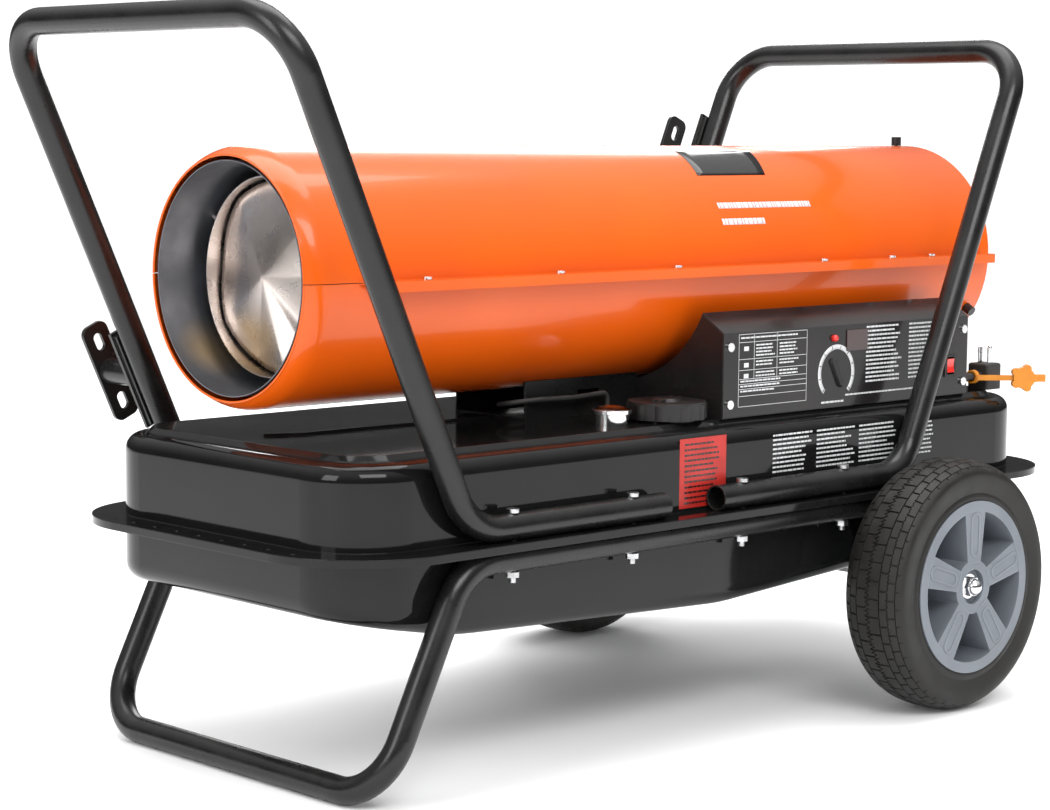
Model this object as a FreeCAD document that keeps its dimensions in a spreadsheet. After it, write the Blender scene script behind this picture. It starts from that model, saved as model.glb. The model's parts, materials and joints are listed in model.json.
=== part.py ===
"""Portable forced-air kerosene heater on two wheels, as a parametric FreeCAD document.

+X runs along the barrel from the hot-air outlet (-X) to the fan guard (+X), the control box is on
the -Y side and +Z is up. The origin is on the ground, under the middle of the whole heater.
All sizes are millimetres and degrees.
"""
import FreeCAD, Part
import math
import os
import re
import Sketcher
from FreeCAD import Placement, Rotation, Vector

SIZES = (
    ("barrel_z", 457, "height of the barrel's axis"),
    ("barrel_r", 120.7, "outer radius of the barrel"),
    ("barrel_front", -453, "front face of the outlet lip"),
    ("barrel_rear", 532.5, "rear edge of the barrel"),
    ("shell_wall", 0.9, "sheet of the barrel shells"),
    ("nose_length", 24, "length of the barrel's drawn-in nose"),
    ("nose_curve", 39, "radius of the nose's curved outline"),
    ("bead_r", 1.1, "radius of the rolled edge at the nose"),
    ("seam_gap", 0.6, "gap between the two barrel shells"),
    ("ledge_reach", 19.3, "how far the seam ledge stands out of the barrel"),
    ("ledge_drop", 9, "height of the ledge's turned-down edge"),
    ("ledge_front", -398, "front end of the seam ledge"),
    ("ledge_rear", 519, "rear end of the seam ledge"),
    ("chamber_gap", 13.2, "gap between the barrel's outside and the chamber's"),
    ("chamber_wall", 1, "sheet of the combustion chamber"),
    ("chamber_front", -451, "front end of the combustion chamber"),
    ("chamber_rear", 40, "rear end of the combustion chamber"),
    ("ring_gap", 14.5, "gap between the chamber's outside and the ring's"),
    ("ring_wall", 1.2, "sheet of the outlet ring"),
    ("ring_front", -406, "front edge of the outlet ring"),
    ("ring_width", 20, "width of the outlet ring"),
    ("cone_gap", 7, "gap between the ring's outside and the flame cone"),
    ("cone_rise", 20, "rise of the flame cone"),
    ("cone_base", -388, "rear edge of the flame cone"),
    ("split_z", 224, "joint between the two tank halves"),
    ("rim_sheet", 1.5, "sheet of each tank rim"),
    ("tank_wall", 1.2, "sheet of the tank body"),
    ("tank_front", -465, "front wall of the tank"),
    ("tank_rear", 527.6, "rear wall of the tank"),
    ("tank_half", 191, "half width of the tank"),
    ("tank_corner", 70, "corner radius of the tank"),
    ("tank_shoulder", 303, "height of the tank's rounded shoulder"),
    ("tank_top", 308.5, "height of the raised top panel"),
    ("shoulder_r", 16, "edge radius of the tank shoulder"),
    ("belly_r", 18, "edge radius of the tank belly"),
    ("belly_front_z", 166, "height of the belly at the front wall"),
    ("belly_knee_x", -335, "crease at the end of the belly's steep front rise"),
    ("belly_knee_z", 140, "height of that crease"),
    ("belly_low_x", 20, "crease along the belly's lowest line"),
    ("tank_bottom", 126, "height of the belly's lowest line"),
    ("belly_rear_z", 158, "height of the belly at the rear wall"),
    ("belly_soft_r", 300, "radius of the soft creases across the belly"),
    ("panel_inset", 21, "top panel's inset from the tank's outline"),
    ("panel_bevel", 5, "bevel around the top panel"),
    ("rim_reach", 33, "how far the rim stands out of the tank"),
    ("rim_corner", 105, "corner radius of the rim"),
    ("rim_lip", 6, "depth of the rim's turned-down edge"),
    ("fit_gap", 0.3, "clearance between neighbouring pieces"),
    ("tube_r", 12.7, "radius of the frame and handle tube"),
    ("tube_wall", 1.6, "wall of the frame and handle tube"),
    ("tube_bend", 55, "centreline radius of the tube bends"),
    ("rail_gap", 2, "gap between the tank's side and the tubes"),
    ("front_toe", -91, "open end of the front handle"),
    ("front_corner", -342, "corner of the front handle"),
    ("front_bar_x", -547.9, "front handle bar"),
    ("front_bar_z", 688.2, "height of the front handle bar"),
    ("rear_toe", -16, "open end of the rear handle"),
    ("rear_corner", 272.8, "corner of the rear handle"),
    ("rear_bar_x", 468.7, "rear handle bar"),
    ("rear_bar_z", 682.8, "height of the rear handle bar"),
    ("stand_corner", -347, "corner of the front stand leg"),
    ("stand_bar_x", -444.6, "ground bar of the front stand"),
    ("axle_corner", 238, "corner above the axle"),
    ("axle_bend", 45, "centreline radius above the axle"),
    ("axle_tail", 20, "tube beyond the axle"),
    ("bolt_first", -288, "foremost frame bolt"),
    ("bolt_pitch", 155, "distance between frame bolts"),
    ("bolt_r", 3.175, "radius of the frame bolts"),
    ("bolt_hole_r", 3.4, "radius of the frame bolt holes"),
    ("bolt_head_r", 6, "radius of the frame bolt heads"),
    ("bolt_head_z", 3.6, "height of the frame bolt heads"),
    ("bolt_tail", 10, "bolt length below the tube, nut and thread end"),
    ("nut_height", 5.2, "height of the frame nuts"),
    ("nut_r", 6.3, "corner radius of the frame nuts"),
    ("wheel_x", 270, "place of the axle"),
    ("wheel_r", 130, "radius of the wheels"),
    ("tyre_inner_y", 232, "inner side of the tyre"),
    ("tyre_width", 75.5, "width of the tyre"),
    ("tyre_shoulder", 12, "shoulder radius of the tyre"),
    ("rim_r", 89, "radius of the wheel rim"),
    ("rim_wall", 11, "thickness of the wheel rim"),
    ("rim_inset", 1.5, "rim's inset from the tyre's outer side"),
    ("web_wall", 5, "thickness of the wheel web"),
    ("web_depth", 50, "depth of the pockets between the spokes"),
    ("spoke_hub_half", 10.5, "half width of a spoke at the hub"),
    ("spoke_rim_half", 17, "half width of a spoke at the rim"),
    ("spoke_inset", 0.8, "spokes' inset from the rim's face"),
    ("boss_r", 28, "radius of the wheel boss"),
    ("boss_dish", 1.5, "boss end's inset from the rim's face"),
    ("boss_inset", 9, "nut seat's inset from the rim's face"),
    ("seat_r", 18, "radius of the recess around the axle nut"),
    ("boss_gap", 3, "gap between the boss and the frame tube"),
    ("axle_r", 6.35, "radius of the axle"),
    ("running_gap", 0.07, "radial clearance of a turning fit"),
    ("end_gap", 0.5, "end clearance of a turning fit"),
    ("cap_nut_r", 10.5, "corner radius of the axle cap nuts"),
    ("cap_nut_flat", 8, "height of the cap nut's hexagon"),
    ("cap_washer_r", 13, "radius of the axle washers"),
    ("cap_washer", 1.5, "thickness of the axle washers"),
    ("cap_x", -14, "place of the fuel cap along the tank"),
    ("cap_y", -136, "place of the fuel cap across the tank"),
    ("cap_r", 41, "radius of the fuel cap"),
    ("cap_height", 17, "height of the fuel cap"),
    ("cap_wall", 4, "wall of the fuel cap"),
    ("cap_lift", 2.5, "gap under the fuel cap"),
    ("neck_r", 30, "radius of the filler neck"),
    ("neck_height", 11, "height of the filler neck"),
    ("neck_wall", 2, "wall of the filler neck"),
    ("gasket", 2, "thickness of the cap gasket"),
    ("gauge_x", -80, "place of the fuel gauge along the tank"),
    ("gauge_y", -125, "place of the fuel gauge across the tank"),
    ("gauge_r", 20, "radius of the fuel gauge"),
    ("gauge_height", 14.5, "height of the gauge's bezel above the tank"),
    ("gauge_neck", 10.5, "height of the gauge's neck above the tank"),
    ("gauge_neck_r", 17.5, "radius of the gauge's neck"),
    ("gauge_stem_r", 9, "radius of the gauge stem"),
    ("float_pivot_z", 228, "height of the float's pivot"),
    ("float_clear", 19, "height of the gauge stem's end above the pivot"),
    ("float_arm", 68, "length of the float arm"),
    ("float_r", 14, "radius of the float"),
    ("float_length", 34, "length of the float"),
    ("float_rest", 52, "angle of the float arm below level when the tank is empty"),
    ("box_left", 32, "front wall of the control box"),
    ("box_right", 431, "rear wall of the control box"),
    ("box_face", -170, "control face"),
    ("box_face_top", 394, "top edge of the control face"),
    ("box_brow_y", -141, "upper edge of the sloping brow"),
    ("box_brow_z", 413, "height of the sloping brow's upper edge"),
    ("box_back", 100, "back wall of the control box"),
    ("box_back_z", 378, "height of the control box's back wall"),
    ("box_wall", 1.2, "sheet of the control box"),
    ("saddle_y", -22, "centre of the box wall's curved cut, across"),
    ("saddle_z", 470, "centre of the box wall's curved cut, height"),
    ("saddle_r", 132, "radius of the box wall's curved cut"),
    ("shell_gap", 0.5, "gap between the barrel and what carries it"),
    ("support_front", -126, "front end of the barrel support"),
    ("support_half", 50, "half width of the barrel support"),
    ("support_wall", 2, "sheet of the barrel support"),
    ("knob_x", 206.6, "place of the thermostat knob along the face"),
    ("knob_z", 344.7, "height of the thermostat knob"),
    ("knob_r", 22.5, "radius of the thermostat knob"),
    ("knob_depth", 17, "depth of the thermostat knob"),
    ("stem_r", 3, "radius of the thermostat stem"),
    ("lamp_z", 381, "height of the indicator lamp"),
    ("lamp_r", 3.6, "radius of the indicator lamp"),
    ("window_x", 239, "centre of the display window"),
    ("window_z", 377.5, "height of the display window's centre"),
    ("window_width", 34, "width of the display window"),
    ("window_height", 22, "height of the display window"),
    ("switch_x", 400, "centre of the switch"),
    ("switch_z", 341, "height of the switch's centre"),
    ("switch_width", 20, "width of the switch frame"),
    ("switch_height", 24, "height of the switch frame"),
    ("rocker_width", 12, "width of the rocker"),
    ("rocker_height", 17, "height of the rocker"),
    ("rocker_r", 12, "radius of the rocker's face from its pivot"),
    ("screw_inset", 8.5, "panel screws' inset from the face's edges"),
    ("screw_r", 2.1, "radius of the cover screws"),
    ("screw_hole_r", 2.4, "radius of the cover screw holes"),
    ("screw_head_r", 4.6, "radius of the cover screw heads"),
    ("screw_head", 2.6, "height of the cover screw heads"),
    ("screw_length", 9, "length of the cover screws"),
    ("motor_r", 58, "radius of the motor"),
    ("motor_front", 252, "front of the motor"),
    ("motor_length", 108, "length of the motor"),
    ("shaft_r", 6.35, "radius of the motor shaft"),
    ("shaft_front", 196, "front end of the motor shaft"),
    ("fan_tip_gap", 21.8, "gap between the fan and the barrel's sheet"),
    ("fan_hub_r", 19, "radius of the fan hub"),
    ("fan_front", 204, "front of the fan hub"),
    ("fan_depth", 30, "depth of the fan hub"),
    ("fan_pitch", 32, "pitch of the fan blades"),
    ("blade_sheet", 1.6, "sheet of the fan blades"),
    ("blade_chord", 52, "chord of the fan blades"),
    ("pump_r", 52, "radius of the air pump"),
    ("pump_length", 34, "length of the air pump body"),
    ("pump_chamber_r", 27, "radius of the pump chamber"),
    ("rotor_r", 24, "radius of the pump rotor"),
    ("rotor_length", 13, "length of the pump rotor"),
    ("filter_length", 30, "length of the filter cover"),
    ("guard_x", 526, "plane of the fan guard"),
    ("guard_wire", 1.6, "radius of the guard wire"),
    ("guard_rings", 5, "number of guard rings"),
    ("guard_r", 112, "radius of the outer guard ring"),
    ("guard_knob_r", 5.5, "radius of the guard knobs"),
    ("guard_knob", 10, "height of the guard knobs"),
    ("guard_knob_x", 514, "place of the guard knobs"),
    ("nozzle_r", 9, "radius of the nozzle holder"),
    ("plug_x", 491, "place of the plug along the tank"),
    ("plug_inset", 41, "plug's inset from the tank's side"),
    ("plug_width", 27, "width of the plug"),
    ("plug_height", 29, "height of the plug"),
    ("exit_inset", 37, "cord outlet's inset from the tank's side"),
    ("exit_z", 324, "height of the cord outlet"),
    ("cord_r", 4, "radius of the power cord"),
    ("bushing_length", 20, "length of the strain relief"),
    ("wrap_length", 104, "length of the cord wrap plates"),
    ("wrap_width", 30, "width of the cord wrap plates"),
    ("wrap_reach", 64, "distance of the outer wrap plate from the tube"),
    ("wrap_plate", 4, "thickness of the wrap plates"),
    ("wrap_stub_r", 12.5, "radius of the cord wrap's stub"),
    ("front_wrap_z", 350, "height of the front cord wrap"),
    ("rear_wrap_z", 560, "height of the rear cord wrap"),
    ("drain_x", 20, "place of the drain plug"),
)
SIDES = (-1, 1)
SPOKES = 5
BLADES = 4
CAP_LOBES = 10
SEAM_SCREW_X = (-325, -157, 6, 231, 345, 414)
GUARD_KNOB_ANGLES = (90, 210, 330)

doc = FreeCAD.newDocument("Heater")
sheet = doc.addObject("Spreadsheet::Sheet", "Sizes")
for row, (alias, number, meaning) in enumerate(SIZES, start=1):
    sheet.set(f"A{row}", meaning)
    sheet.set(f"B{row}", str(number))
    sheet.setAlias(f"B{row}", alias)
doc.recompute()
ALIASES = {alias for alias, number, meaning in SIZES}
WORKED_OUT = {"chamber_r": "(barrel_r - chamber_gap)",
              "ring_r": "(barrel_r - chamber_gap - ring_gap)",
              "cone_r": "(barrel_r - chamber_gap - ring_gap - cone_gap)",
              "fan_r": "(barrel_r - shell_wall - fan_tip_gap)",
              "rail_y": "(tank_half + rail_gap + tube_r)",
              "plug_y": "(plug_inset - tank_half)",
              "exit_y": "(exit_inset - tank_half)"}
NODES = []
X_AXIS = Rotation(Vector(0, 1, 0), 90)
Y_AXIS = Rotation(Vector(1, 0, 0), -90)
TURNS = {"z": Rotation(), "x": X_AXIS, "y": Y_AXIS, "-y": Rotation(Vector(1, 0, 0), 90),
         "-x": Rotation(Vector(0, 1, 0), -90), "-z": Rotation(Vector(1, 0, 0), 180)}


def spelled(text):
    """The text with each worked-out name replaced by the sizes that it comes from."""
    return re.sub(r"[a-z_]+", lambda word: WORKED_OUT.get(word[0], word[0]), str(text))


def bound(text):
    """An expression of size names, written so that any object of the document can hold it."""
    full = spelled(text)
    return re.sub(r"[a-z_]+", lambda word: f"Sizes.{word[0]}" if word[0] in ALIASES else word[0], full)


def size(text):
    """The value of an expression of size names."""
    return float(sheet.evalExpression(spelled(text)))


def bind(thing, **expressions):
    """Bind properties to expressions of size names."""
    for name, text in expressions.items():
        thing.setExpression(name, bound(text))


def place(thing, at, along="z"):
    """Stand a thing at a place given by three expressions, with its Z turned to the given axis."""
    turn = TURNS[along] if isinstance(along, str) else along
    thing.Placement = Placement(Vector(), turn)
    for axis, text in zip("xyz", at):
        thing.setExpression(f".Placement.Base.{axis}", bound(text))
    return thing


def cylinder(name, radius, length, at, along="z"):
    thing = doc.addObject("Part::Cylinder", name)
    bind(thing, Radius=radius, Height=length)
    return place(thing, at, along)


def cone(name, radius_low, radius_high, length, at, along="z"):
    thing = doc.addObject("Part::Cone", name)
    bind(thing, Radius1=radius_low, Radius2=radius_high, Height=length)
    return place(thing, at, along)


def ring(name, radius, wire, at, along="z"):
    thing = doc.addObject("Part::Torus", name)
    bind(thing, Radius1=radius, Radius2=wire)
    return place(thing, at, along)


def ball(name, radius, at):
    thing = doc.addObject("Part::Sphere", name)
    bind(thing, Radius=radius)
    return place(thing, at)


def hexagon(name, radius, length, at, along="z"):
    thing = doc.addObject("Part::Prism", name)
    thing.Polygon = 6
    bind(thing, Circumradius=radius, Height=length)
    return place(thing, at, along)


def box(name, low, high):
    """A box between two corners, each given by three expressions."""
    thing = doc.addObject("Part::Box", name)
    for side, a, b in zip(("Length", "Width", "Height"), low, high):
        bind(thing, **{side: f"({b}) - ({a})"})
    return place(thing, low)


def fuse(name, *things):
    thing = doc.addObject("Part::MultiFuse", name)
    thing.Shapes = list(things)
    return thing


def group(name, *things):
    """Separate solids kept side by side in one node."""
    thing = doc.addObject("Part::Compound", name)
    thing.Links = list(things)
    return thing


def cut(name, base, *tools):
    """The base with every tool taken away, one after another."""
    for number, tool in enumerate(tools):
        result = doc.addObject("Part::Cut", f"{name}_{number}")
        result.Base = base
        result.Tool = tool
        base = result
    return base


def common(name, *things):
    thing = doc.addObject("Part::MultiCommon", name)
    thing.Shapes = list(things)
    return thing


def rounded(name, base, radius, picks):
    """Round every edge of the base that picks(edge) accepts."""
    doc.recompute()
    thing = doc.addObject("Part::Fillet", name)
    thing.Base = base
    edges = enumerate(base.Shape.Edges, start=1)
    thing.Edges = [(number, size(radius), size(radius)) for number, edge in edges if picks(edge)]
    return thing


def bevelled(name, base, width, picks):
    """Bevel every edge of the base that picks(edge) accepts."""
    doc.recompute()
    thing = doc.addObject("Part::Chamfer", name)
    thing.Base = base
    edges = enumerate(base.Shape.Edges, start=1)
    thing.Edges = [(number, size(width), size(width)) for number, edge in edges if picks(edge)]
    return thing


def upright(edge):
    """True for a straight edge along Z."""
    box_of = edge.BoundBox
    return box_of.ZLength > 1 and box_of.XLength < 0.01 and box_of.YLength < 0.01


def level_at(height):
    """A test for edges that lie at one height."""
    return lambda edge: abs(edge.BoundBox.ZMin - height) < 0.01 and abs(edge.BoundBox.ZMax - height) < 0.01


def plane_of(body, role):
    return next(feature for feature in body.Origin.OriginFeatures if feature.Role == role)


def outline(body, role, points):
    """A sketch on one of the body's own planes: a closed outline whose corners are expressions."""
    sketch = body.newObject("Sketcher::SketchObject", f"{body.Name}_sketch")
    sketch.AttachmentSupport = [(plane_of(body, role), "")]
    sketch.MapMode = "FlatFace"
    corners = [Vector(size(a), size(b), 0) for a, b in points]
    for number, corner in enumerate(corners):
        sketch.addGeometry(Part.LineSegment(corner, corners[(number + 1) % len(corners)]))
    for number in range(len(corners)):
        after = (number + 1) % len(corners)
        sketch.addConstraint(Sketcher.Constraint("Coincident", number, 2, after, 1))
    for number, texts in enumerate(points):
        for kind, text, start in zip(("DistanceX", "DistanceY"), texts, corners[number]):
            index = sketch.addConstraint(Sketcher.Constraint(kind, -1, 1, number, 1, start))
            sketch.setExpression(f"Constraints[{index}]", bound(text))
    return sketch


def prism(name, role, points, depth, at=("0", "0", "0"), turn="z"):
    """A padded outline. XY pads along +Z, XZ along -Y and YZ along +X."""
    body = doc.addObject("PartDesign::Body", name)
    pad = body.newObject("PartDesign::Pad", f"{name}_pad")
    pad.Profile = outline(body, role, points)
    bind(pad, Length=depth)
    body.Tip = pad
    return place(body, at, turn)


def made(name, shape):
    """A shape made with Part's own functions, kept as a feature of the document."""
    thing = doc.addObject("Part::Feature", name)
    thing.Shape = shape
    return thing


def node(name, thing):
    """Name a finished sub-part; its label names its file."""
    thing.Label = name
    NODES.append(thing)
    return thing


def path_of(points, bends):
    """A wire of straight runs joined by tangent arcs of the given radii, one for each inner point."""
    edges = []
    start = points[0]
    for before, corner, after, radius in zip(points, points[1:], points[2:], bends):
        back = (before - corner).normalize()
        ahead = (after - corner).normalize()
        half_turn = (math.pi - back.getAngle(ahead)) / 2
        reach = radius * math.tan(half_turn)
        first, last = corner + back * reach, corner + ahead * reach
        middle = (back + ahead).normalize()
        inside = corner + middle * (radius / math.cos(half_turn) - radius)
        if (first - start).Length > 1e-6:
            edges.append(Part.LineSegment(start, first).toShape())
        edges.append(Part.Arc(first, inside, last).toShape())
        start = last
    edges.append(Part.LineSegment(start, points[-1]).toShape())
    return Part.Wire(edges)


def pipe(points, bends, radius):
    """A solid round bar along a path of runs and arcs."""
    path = path_of(points, bends)
    circle = Part.Circle(points[0], points[1] - points[0], radius)
    return path.makePipeShell([Part.Wire([circle.toShape()])], True, False)


def tube(points, bends, radius, wall):
    """A hollow round tube, open at both ends."""
    return pipe(points, bends, radius).cut(pipe(points, bends, radius - wall))


def hose_bends(points):
    """The largest even bends that the runs of a cord or hose allow."""
    bends = []
    for before, corner, after in zip(points, points[1:], points[2:]):
        runs = (corner - before).Length, (after - corner).Length
        turn = (corner - before).getAngle(after - corner)
        bends.append(0.45 * min(runs) / math.tan(turn / 2))
    return bends


# ---- fuel tank -------------------------------------------------------------------------------
def rounded_block(name, inset, low_z, high_z, corner, reach="0"):
    """The tank's outline as a block: inset shrinks it, reach widens it."""
    low = (f"tank_front + {inset} - ({reach})", f"0 - tank_half + {inset} - ({reach})", low_z)
    high = (f"tank_rear - {inset} + {reach}", f"tank_half - {inset} + {reach}", high_z)
    return rounded(name, box(f"{name}_block", low, high), corner, upright)


def upper_body(name, inset):
    """The tank's upper half as a solid, inset from the outside by a wall or by nothing."""
    top = f"tank_shoulder - {inset}"
    block = rounded_block(f"{name}_walls", inset, "split_z", top, f"tank_corner - {inset}")
    base = rounded(f"{name}_shoulder", block, f"shoulder_r - {inset}", level_at(size(top)))
    panel_top = f"tank_top - {inset}"
    margin = f"panel_inset + {inset}"
    panel = rounded_block(f"{name}_panel", margin, "tank_shoulder - 30", panel_top,
                          f"tank_corner - panel_inset - {inset}")
    slope = bevelled(f"{name}_bevel", panel, "panel_bevel", level_at(size(panel_top)))
    return fuse(f"{name}_solid", base, slope)


def lower_body(name, inset):
    """The tank's lower half as a solid, with a belly that rises towards both ends."""
    block = rounded_block(f"{name}_walls", inset, f"tank_bottom + {inset} - 2", "split_z", f"tank_corner - {inset}")
    line = (("tank_rear + 1", "belly_rear_z"), ("belly_low_x", "tank_bottom"),
            ("belly_knee_x", "belly_knee_z"), ("tank_front - 1", "belly_front_z"))
    corners = (("tank_front - 1", "tank_bottom - 30"), ("tank_rear + 1", "tank_bottom - 30"),
               *((along, f"{height} + {inset}") for along, height in line))
    wedge = prism(f"{name}_wedge", "XZ_Plane", corners, "tank_half * 2 + 20", ("0", "tank_half + 10", "0"))
    below = rounded(f"{name}_below", wedge, "belly_soft_r", is_crease)
    highest = size(f"belly_front_z + {inset}") + 1
    return rounded(f"{name}_solid", cut(f"{name}_belly", block, below), f"belly_r - {inset}",
                   lambda edge: edge.BoundBox.ZMax < highest)


def is_crease(edge):
    """True for an edge that crosses the belly from side to side, away from the end walls."""
    span = edge.BoundBox
    inside = size("tank_front") + 80 < span.XMin < size("tank_rear") - 80
    return inside and span.XLength < 0.01 and span.ZMin > size("tank_bottom") - 5


def rim(name, low_z, reach, corner, with_lip):
    """The flat rim around a tank half, with a turned-down edge on the upper one."""
    plate = rounded_block(f"{name}_plate", "0", low_z, f"{low_z} + rim_sheet", corner, reach)
    opening = rounded_block(f"{name}_opening", "tank_wall", f"{low_z} - 1", f"{low_z} + rim_sheet + 1",
                            "tank_corner - tank_wall")
    if not with_lip:
        return cut(f"{name}_flat", plate, opening)
    band = rounded_block(f"{name}_band", "0", f"{low_z} - rim_lip", f"{low_z} + rim_sheet / 2", corner, reach)
    hollow = rounded_block(f"{name}_hollow", "rim_sheet", f"{low_z} - rim_lip - 1", f"{low_z} + rim_sheet",
                           f"{corner} - rim_sheet", reach)
    return fuse(f"{name}_with_lip", cut(f"{name}_flat", plate, opening), cut(f"{name}_lip", band, hollow))


def bolt_places():
    """Places of the frame bolts: expressions along X and a side for each."""
    return [(f"bolt_first + bolt_pitch * {number}", side) for side in SIDES for number in range(4)]


def bolt_holes(name, low_z, high_z):
    """Clearance cutters for the frame bolts between two heights."""
    pins = [cylinder(f"{name}_{number}", "bolt_hole_r", f"({high_z}) - ({low_z})",
                     (along, f"rail_y * {side}", low_z)) for number, (along, side) in enumerate(bolt_places())]
    return group(name, *pins)


def tank_upper():
    shell = cut("upper_hollow", upper_body("upper_out", "0"), upper_body("upper_in", "tank_wall"))
    whole = fuse("upper_whole", shell, rim("upper_rim", "split_z", "rim_reach", "rim_corner", True), top_rib())
    neck = cylinder("neck_hole", "neck_r - neck_wall", "20", ("cap_x", "cap_y", "tank_top - 10"))
    stem = cylinder("gauge_hole", "gauge_stem_r + fit_gap", "20", ("gauge_x", "gauge_y", "tank_top - 10"))
    pickup = cylinder("pickup_hole", "6 + fit_gap", "20", (PICKUP[0], PICKUP[1], "tank_top - 10"))
    holes = bolt_holes("upper_rim_holes", "split_z - 1", "split_z + 4")
    return node("tank_upper", cut("upper_cut", whole, neck, stem, pickup, holes))


def top_rib():
    """The long pointed rib pressed up in the top panel ahead of the barrel support."""
    corners = (("tank_front + 64", "12"), ("tank_front + 96", "-4"), ("support_front - 8", "-10"),
               ("support_front - 8", "16"), ("tank_front + 96", "16"))
    return prism("top_rib", "XY_Plane", corners, "3.5", ("0", "0", "tank_top - 1"))


def tank_lower():
    shell = cut("lower_hollow", lower_body("lower_out", "0"), lower_body("lower_in", "tank_wall"))
    flat = rim("lower_rim", "split_z - rim_sheet", "rim_reach - rim_sheet - fit_gap",
               "rim_corner - rim_sheet - fit_gap", False)
    whole = fuse("lower_whole", shell, flat)
    drain = cylinder("drain_hole", "7 + fit_gap", "10", ("drain_x", "0", "tank_bottom - 5"))
    holes = bolt_holes("lower_rim_holes", "split_z - 4", "split_z + 1")
    return node("tank_lower", cut("lower_cut", whole, drain, holes))


def drain_plug():
    thread = cylinder("drain_thread", "7", "8", ("drain_x", "0", "tank_bottom - fit_gap"))
    washer = cylinder("drain_washer", "12", "2", ("drain_x", "0", "tank_bottom - 2"))
    head = hexagon("drain_head", "11", "7", ("drain_x", "0", "tank_bottom - 9"))
    return node("drain_plug", fuse("drain_parts", thread, washer, head))


def filler_neck():
    wall = cylinder("neck_out", "neck_r", "neck_height", ("cap_x", "cap_y", "tank_top"))
    bore = cylinder("neck_in", "neck_r - neck_wall", "neck_height + 2", ("cap_x", "cap_y", "tank_top - 1"))
    return node("filler_neck", cut("neck", wall, bore))


def fuel_cap():
    """The lobed cap over the neck, hollow below, with its gasket under the roof."""
    seat = "tank_top + cap_lift"
    body = cylinder("cap_out", "cap_r - 2", "cap_height", ("cap_x", "cap_y", seat))
    lobes = []
    for number in range(CAP_LOBES):
        angle = f"{360 / CAP_LOBES * number}deg"
        lobes.append(cylinder(f"cap_lobe_{number}", "9", "cap_height - 2",
                              (f"cap_x + (cap_r - 9) * cos({angle})", f"cap_y + (cap_r - 9) * sin({angle})", seat)))
    crown = cone("cap_crown", "17", "14", "3", ("cap_x", "cap_y", f"{seat} + cap_height"))
    hollow = cylinder("cap_hollow", "neck_r + running_gap + fit_gap", "cap_height - cap_wall + 1",
                      ("cap_x", "cap_y", f"{seat} - 1"))
    node("fuel_cap", cut("cap", fuse("cap_outside", body, crown, *lobes), hollow))
    disc = cylinder("gasket_disc", "neck_r - fit_gap", "gasket",
                    ("cap_x", "cap_y", "tank_top + neck_height"))
    return node("cap_gasket", disc)


def fuel_gauge():
    """A float gauge: dial housing on the tank, needle under a lens, and a float arm inside the tank."""
    bezel = cylinder("gauge_bezel", "gauge_r", "gauge_height - gauge_neck",
                     ("gauge_x", "gauge_y", "tank_top + gauge_neck"))
    neck = cylinder("gauge_neck_round", "gauge_neck_r", "gauge_neck + 0.5", ("gauge_x", "gauge_y", "tank_top"))
    stem = cylinder("gauge_stem", "gauge_stem_r", "tank_top - float_pivot_z - float_clear",
                    ("gauge_x", "gauge_y", "float_pivot_z + float_clear"))
    dish = cylinder("gauge_dish", "gauge_r - 2.5", "4", ("gauge_x", "gauge_y", "tank_top + gauge_height - 2.5"))
    ears = [box(f"gauge_ear_{side}", ("gauge_x - 5", f"gauge_y + {side} * 5.5 - 1.5", "float_pivot_z - 6"),
                ("gauge_x + 5", f"gauge_y + {side} * 5.5 + 1.5", "float_pivot_z + float_clear + 1")) for side in SIDES]
    bores = [cylinder("gauge_pivot_bore", "1.5 + running_gap", "20", ("gauge_x", "gauge_y - 10", "float_pivot_z"), "y")]
    node("gauge_body", cut("gauge", fuse("gauge_parts", bezel, neck, stem, *ears), dish, *bores))
    lens = common("gauge_lens_cap", ball("gauge_ball", "gauge_r * 2", (
        "gauge_x", "gauge_y", "tank_top + gauge_height + 4.2 - gauge_r * 2")),
        cylinder("gauge_lens_rim", "gauge_r - 2.5 - fit_gap", "6", ("gauge_x", "gauge_y", "tank_top + gauge_height - 0.8")))
    node("gauge_lens", lens)
    needle_low = "tank_top + gauge_height - 2.2"
    needle = fuse("needle", cylinder("needle_hub", "2.2", "0.9", ("gauge_x", "gauge_y", needle_low)),
                  box("needle_arm", ("gauge_x - 13", "gauge_y - 0.8", needle_low),
                      ("gauge_x + 4", "gauge_y + 0.8", f"{needle_low} + 0.9")))
    node("gauge_needle", needle)
    pin = cylinder("float_pin", "1.5", "15", ("gauge_x", "gauge_y - 7.5", "float_pivot_z"), "y")
    arm = cylinder("float_rod", "1.5", "float_arm", ("gauge_x", "gauge_y", "float_pivot_z"), "x")
    body = cylinder("float_body", "float_r", "float_length",
                    ("gauge_x + float_arm", "gauge_y - float_length / 2", "float_pivot_z"), "y")
    level = fuse("float_level", pin, arm, body)
    doc.recompute()
    low = level.Shape.copy()
    pivot = Vector(size("gauge_x"), size("gauge_y"), size("float_pivot_z"))
    low.rotate(pivot, Vector(0, 1, 0), size("float_rest"))
    return node("gauge_float", made("float_low", low))


PICKUP = ("-20", "-60")


def fuel_pickup():
    """Suction tube through the tank top, with its union above and a strainer above the tank floor."""
    union = hexagon("pickup_union", "9", "7", (*PICKUP, "tank_top"))
    stem = cylinder("pickup_tube", "4", "tank_top - tank_bottom - 30", (*PICKUP, "tank_bottom + 30"))
    strainer = cylinder("pickup_strainer", "11", "32", (*PICKUP, "tank_bottom + 10"))
    return node("fuel_pickup", fuse("pickup", union, stem, strainer))


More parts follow.
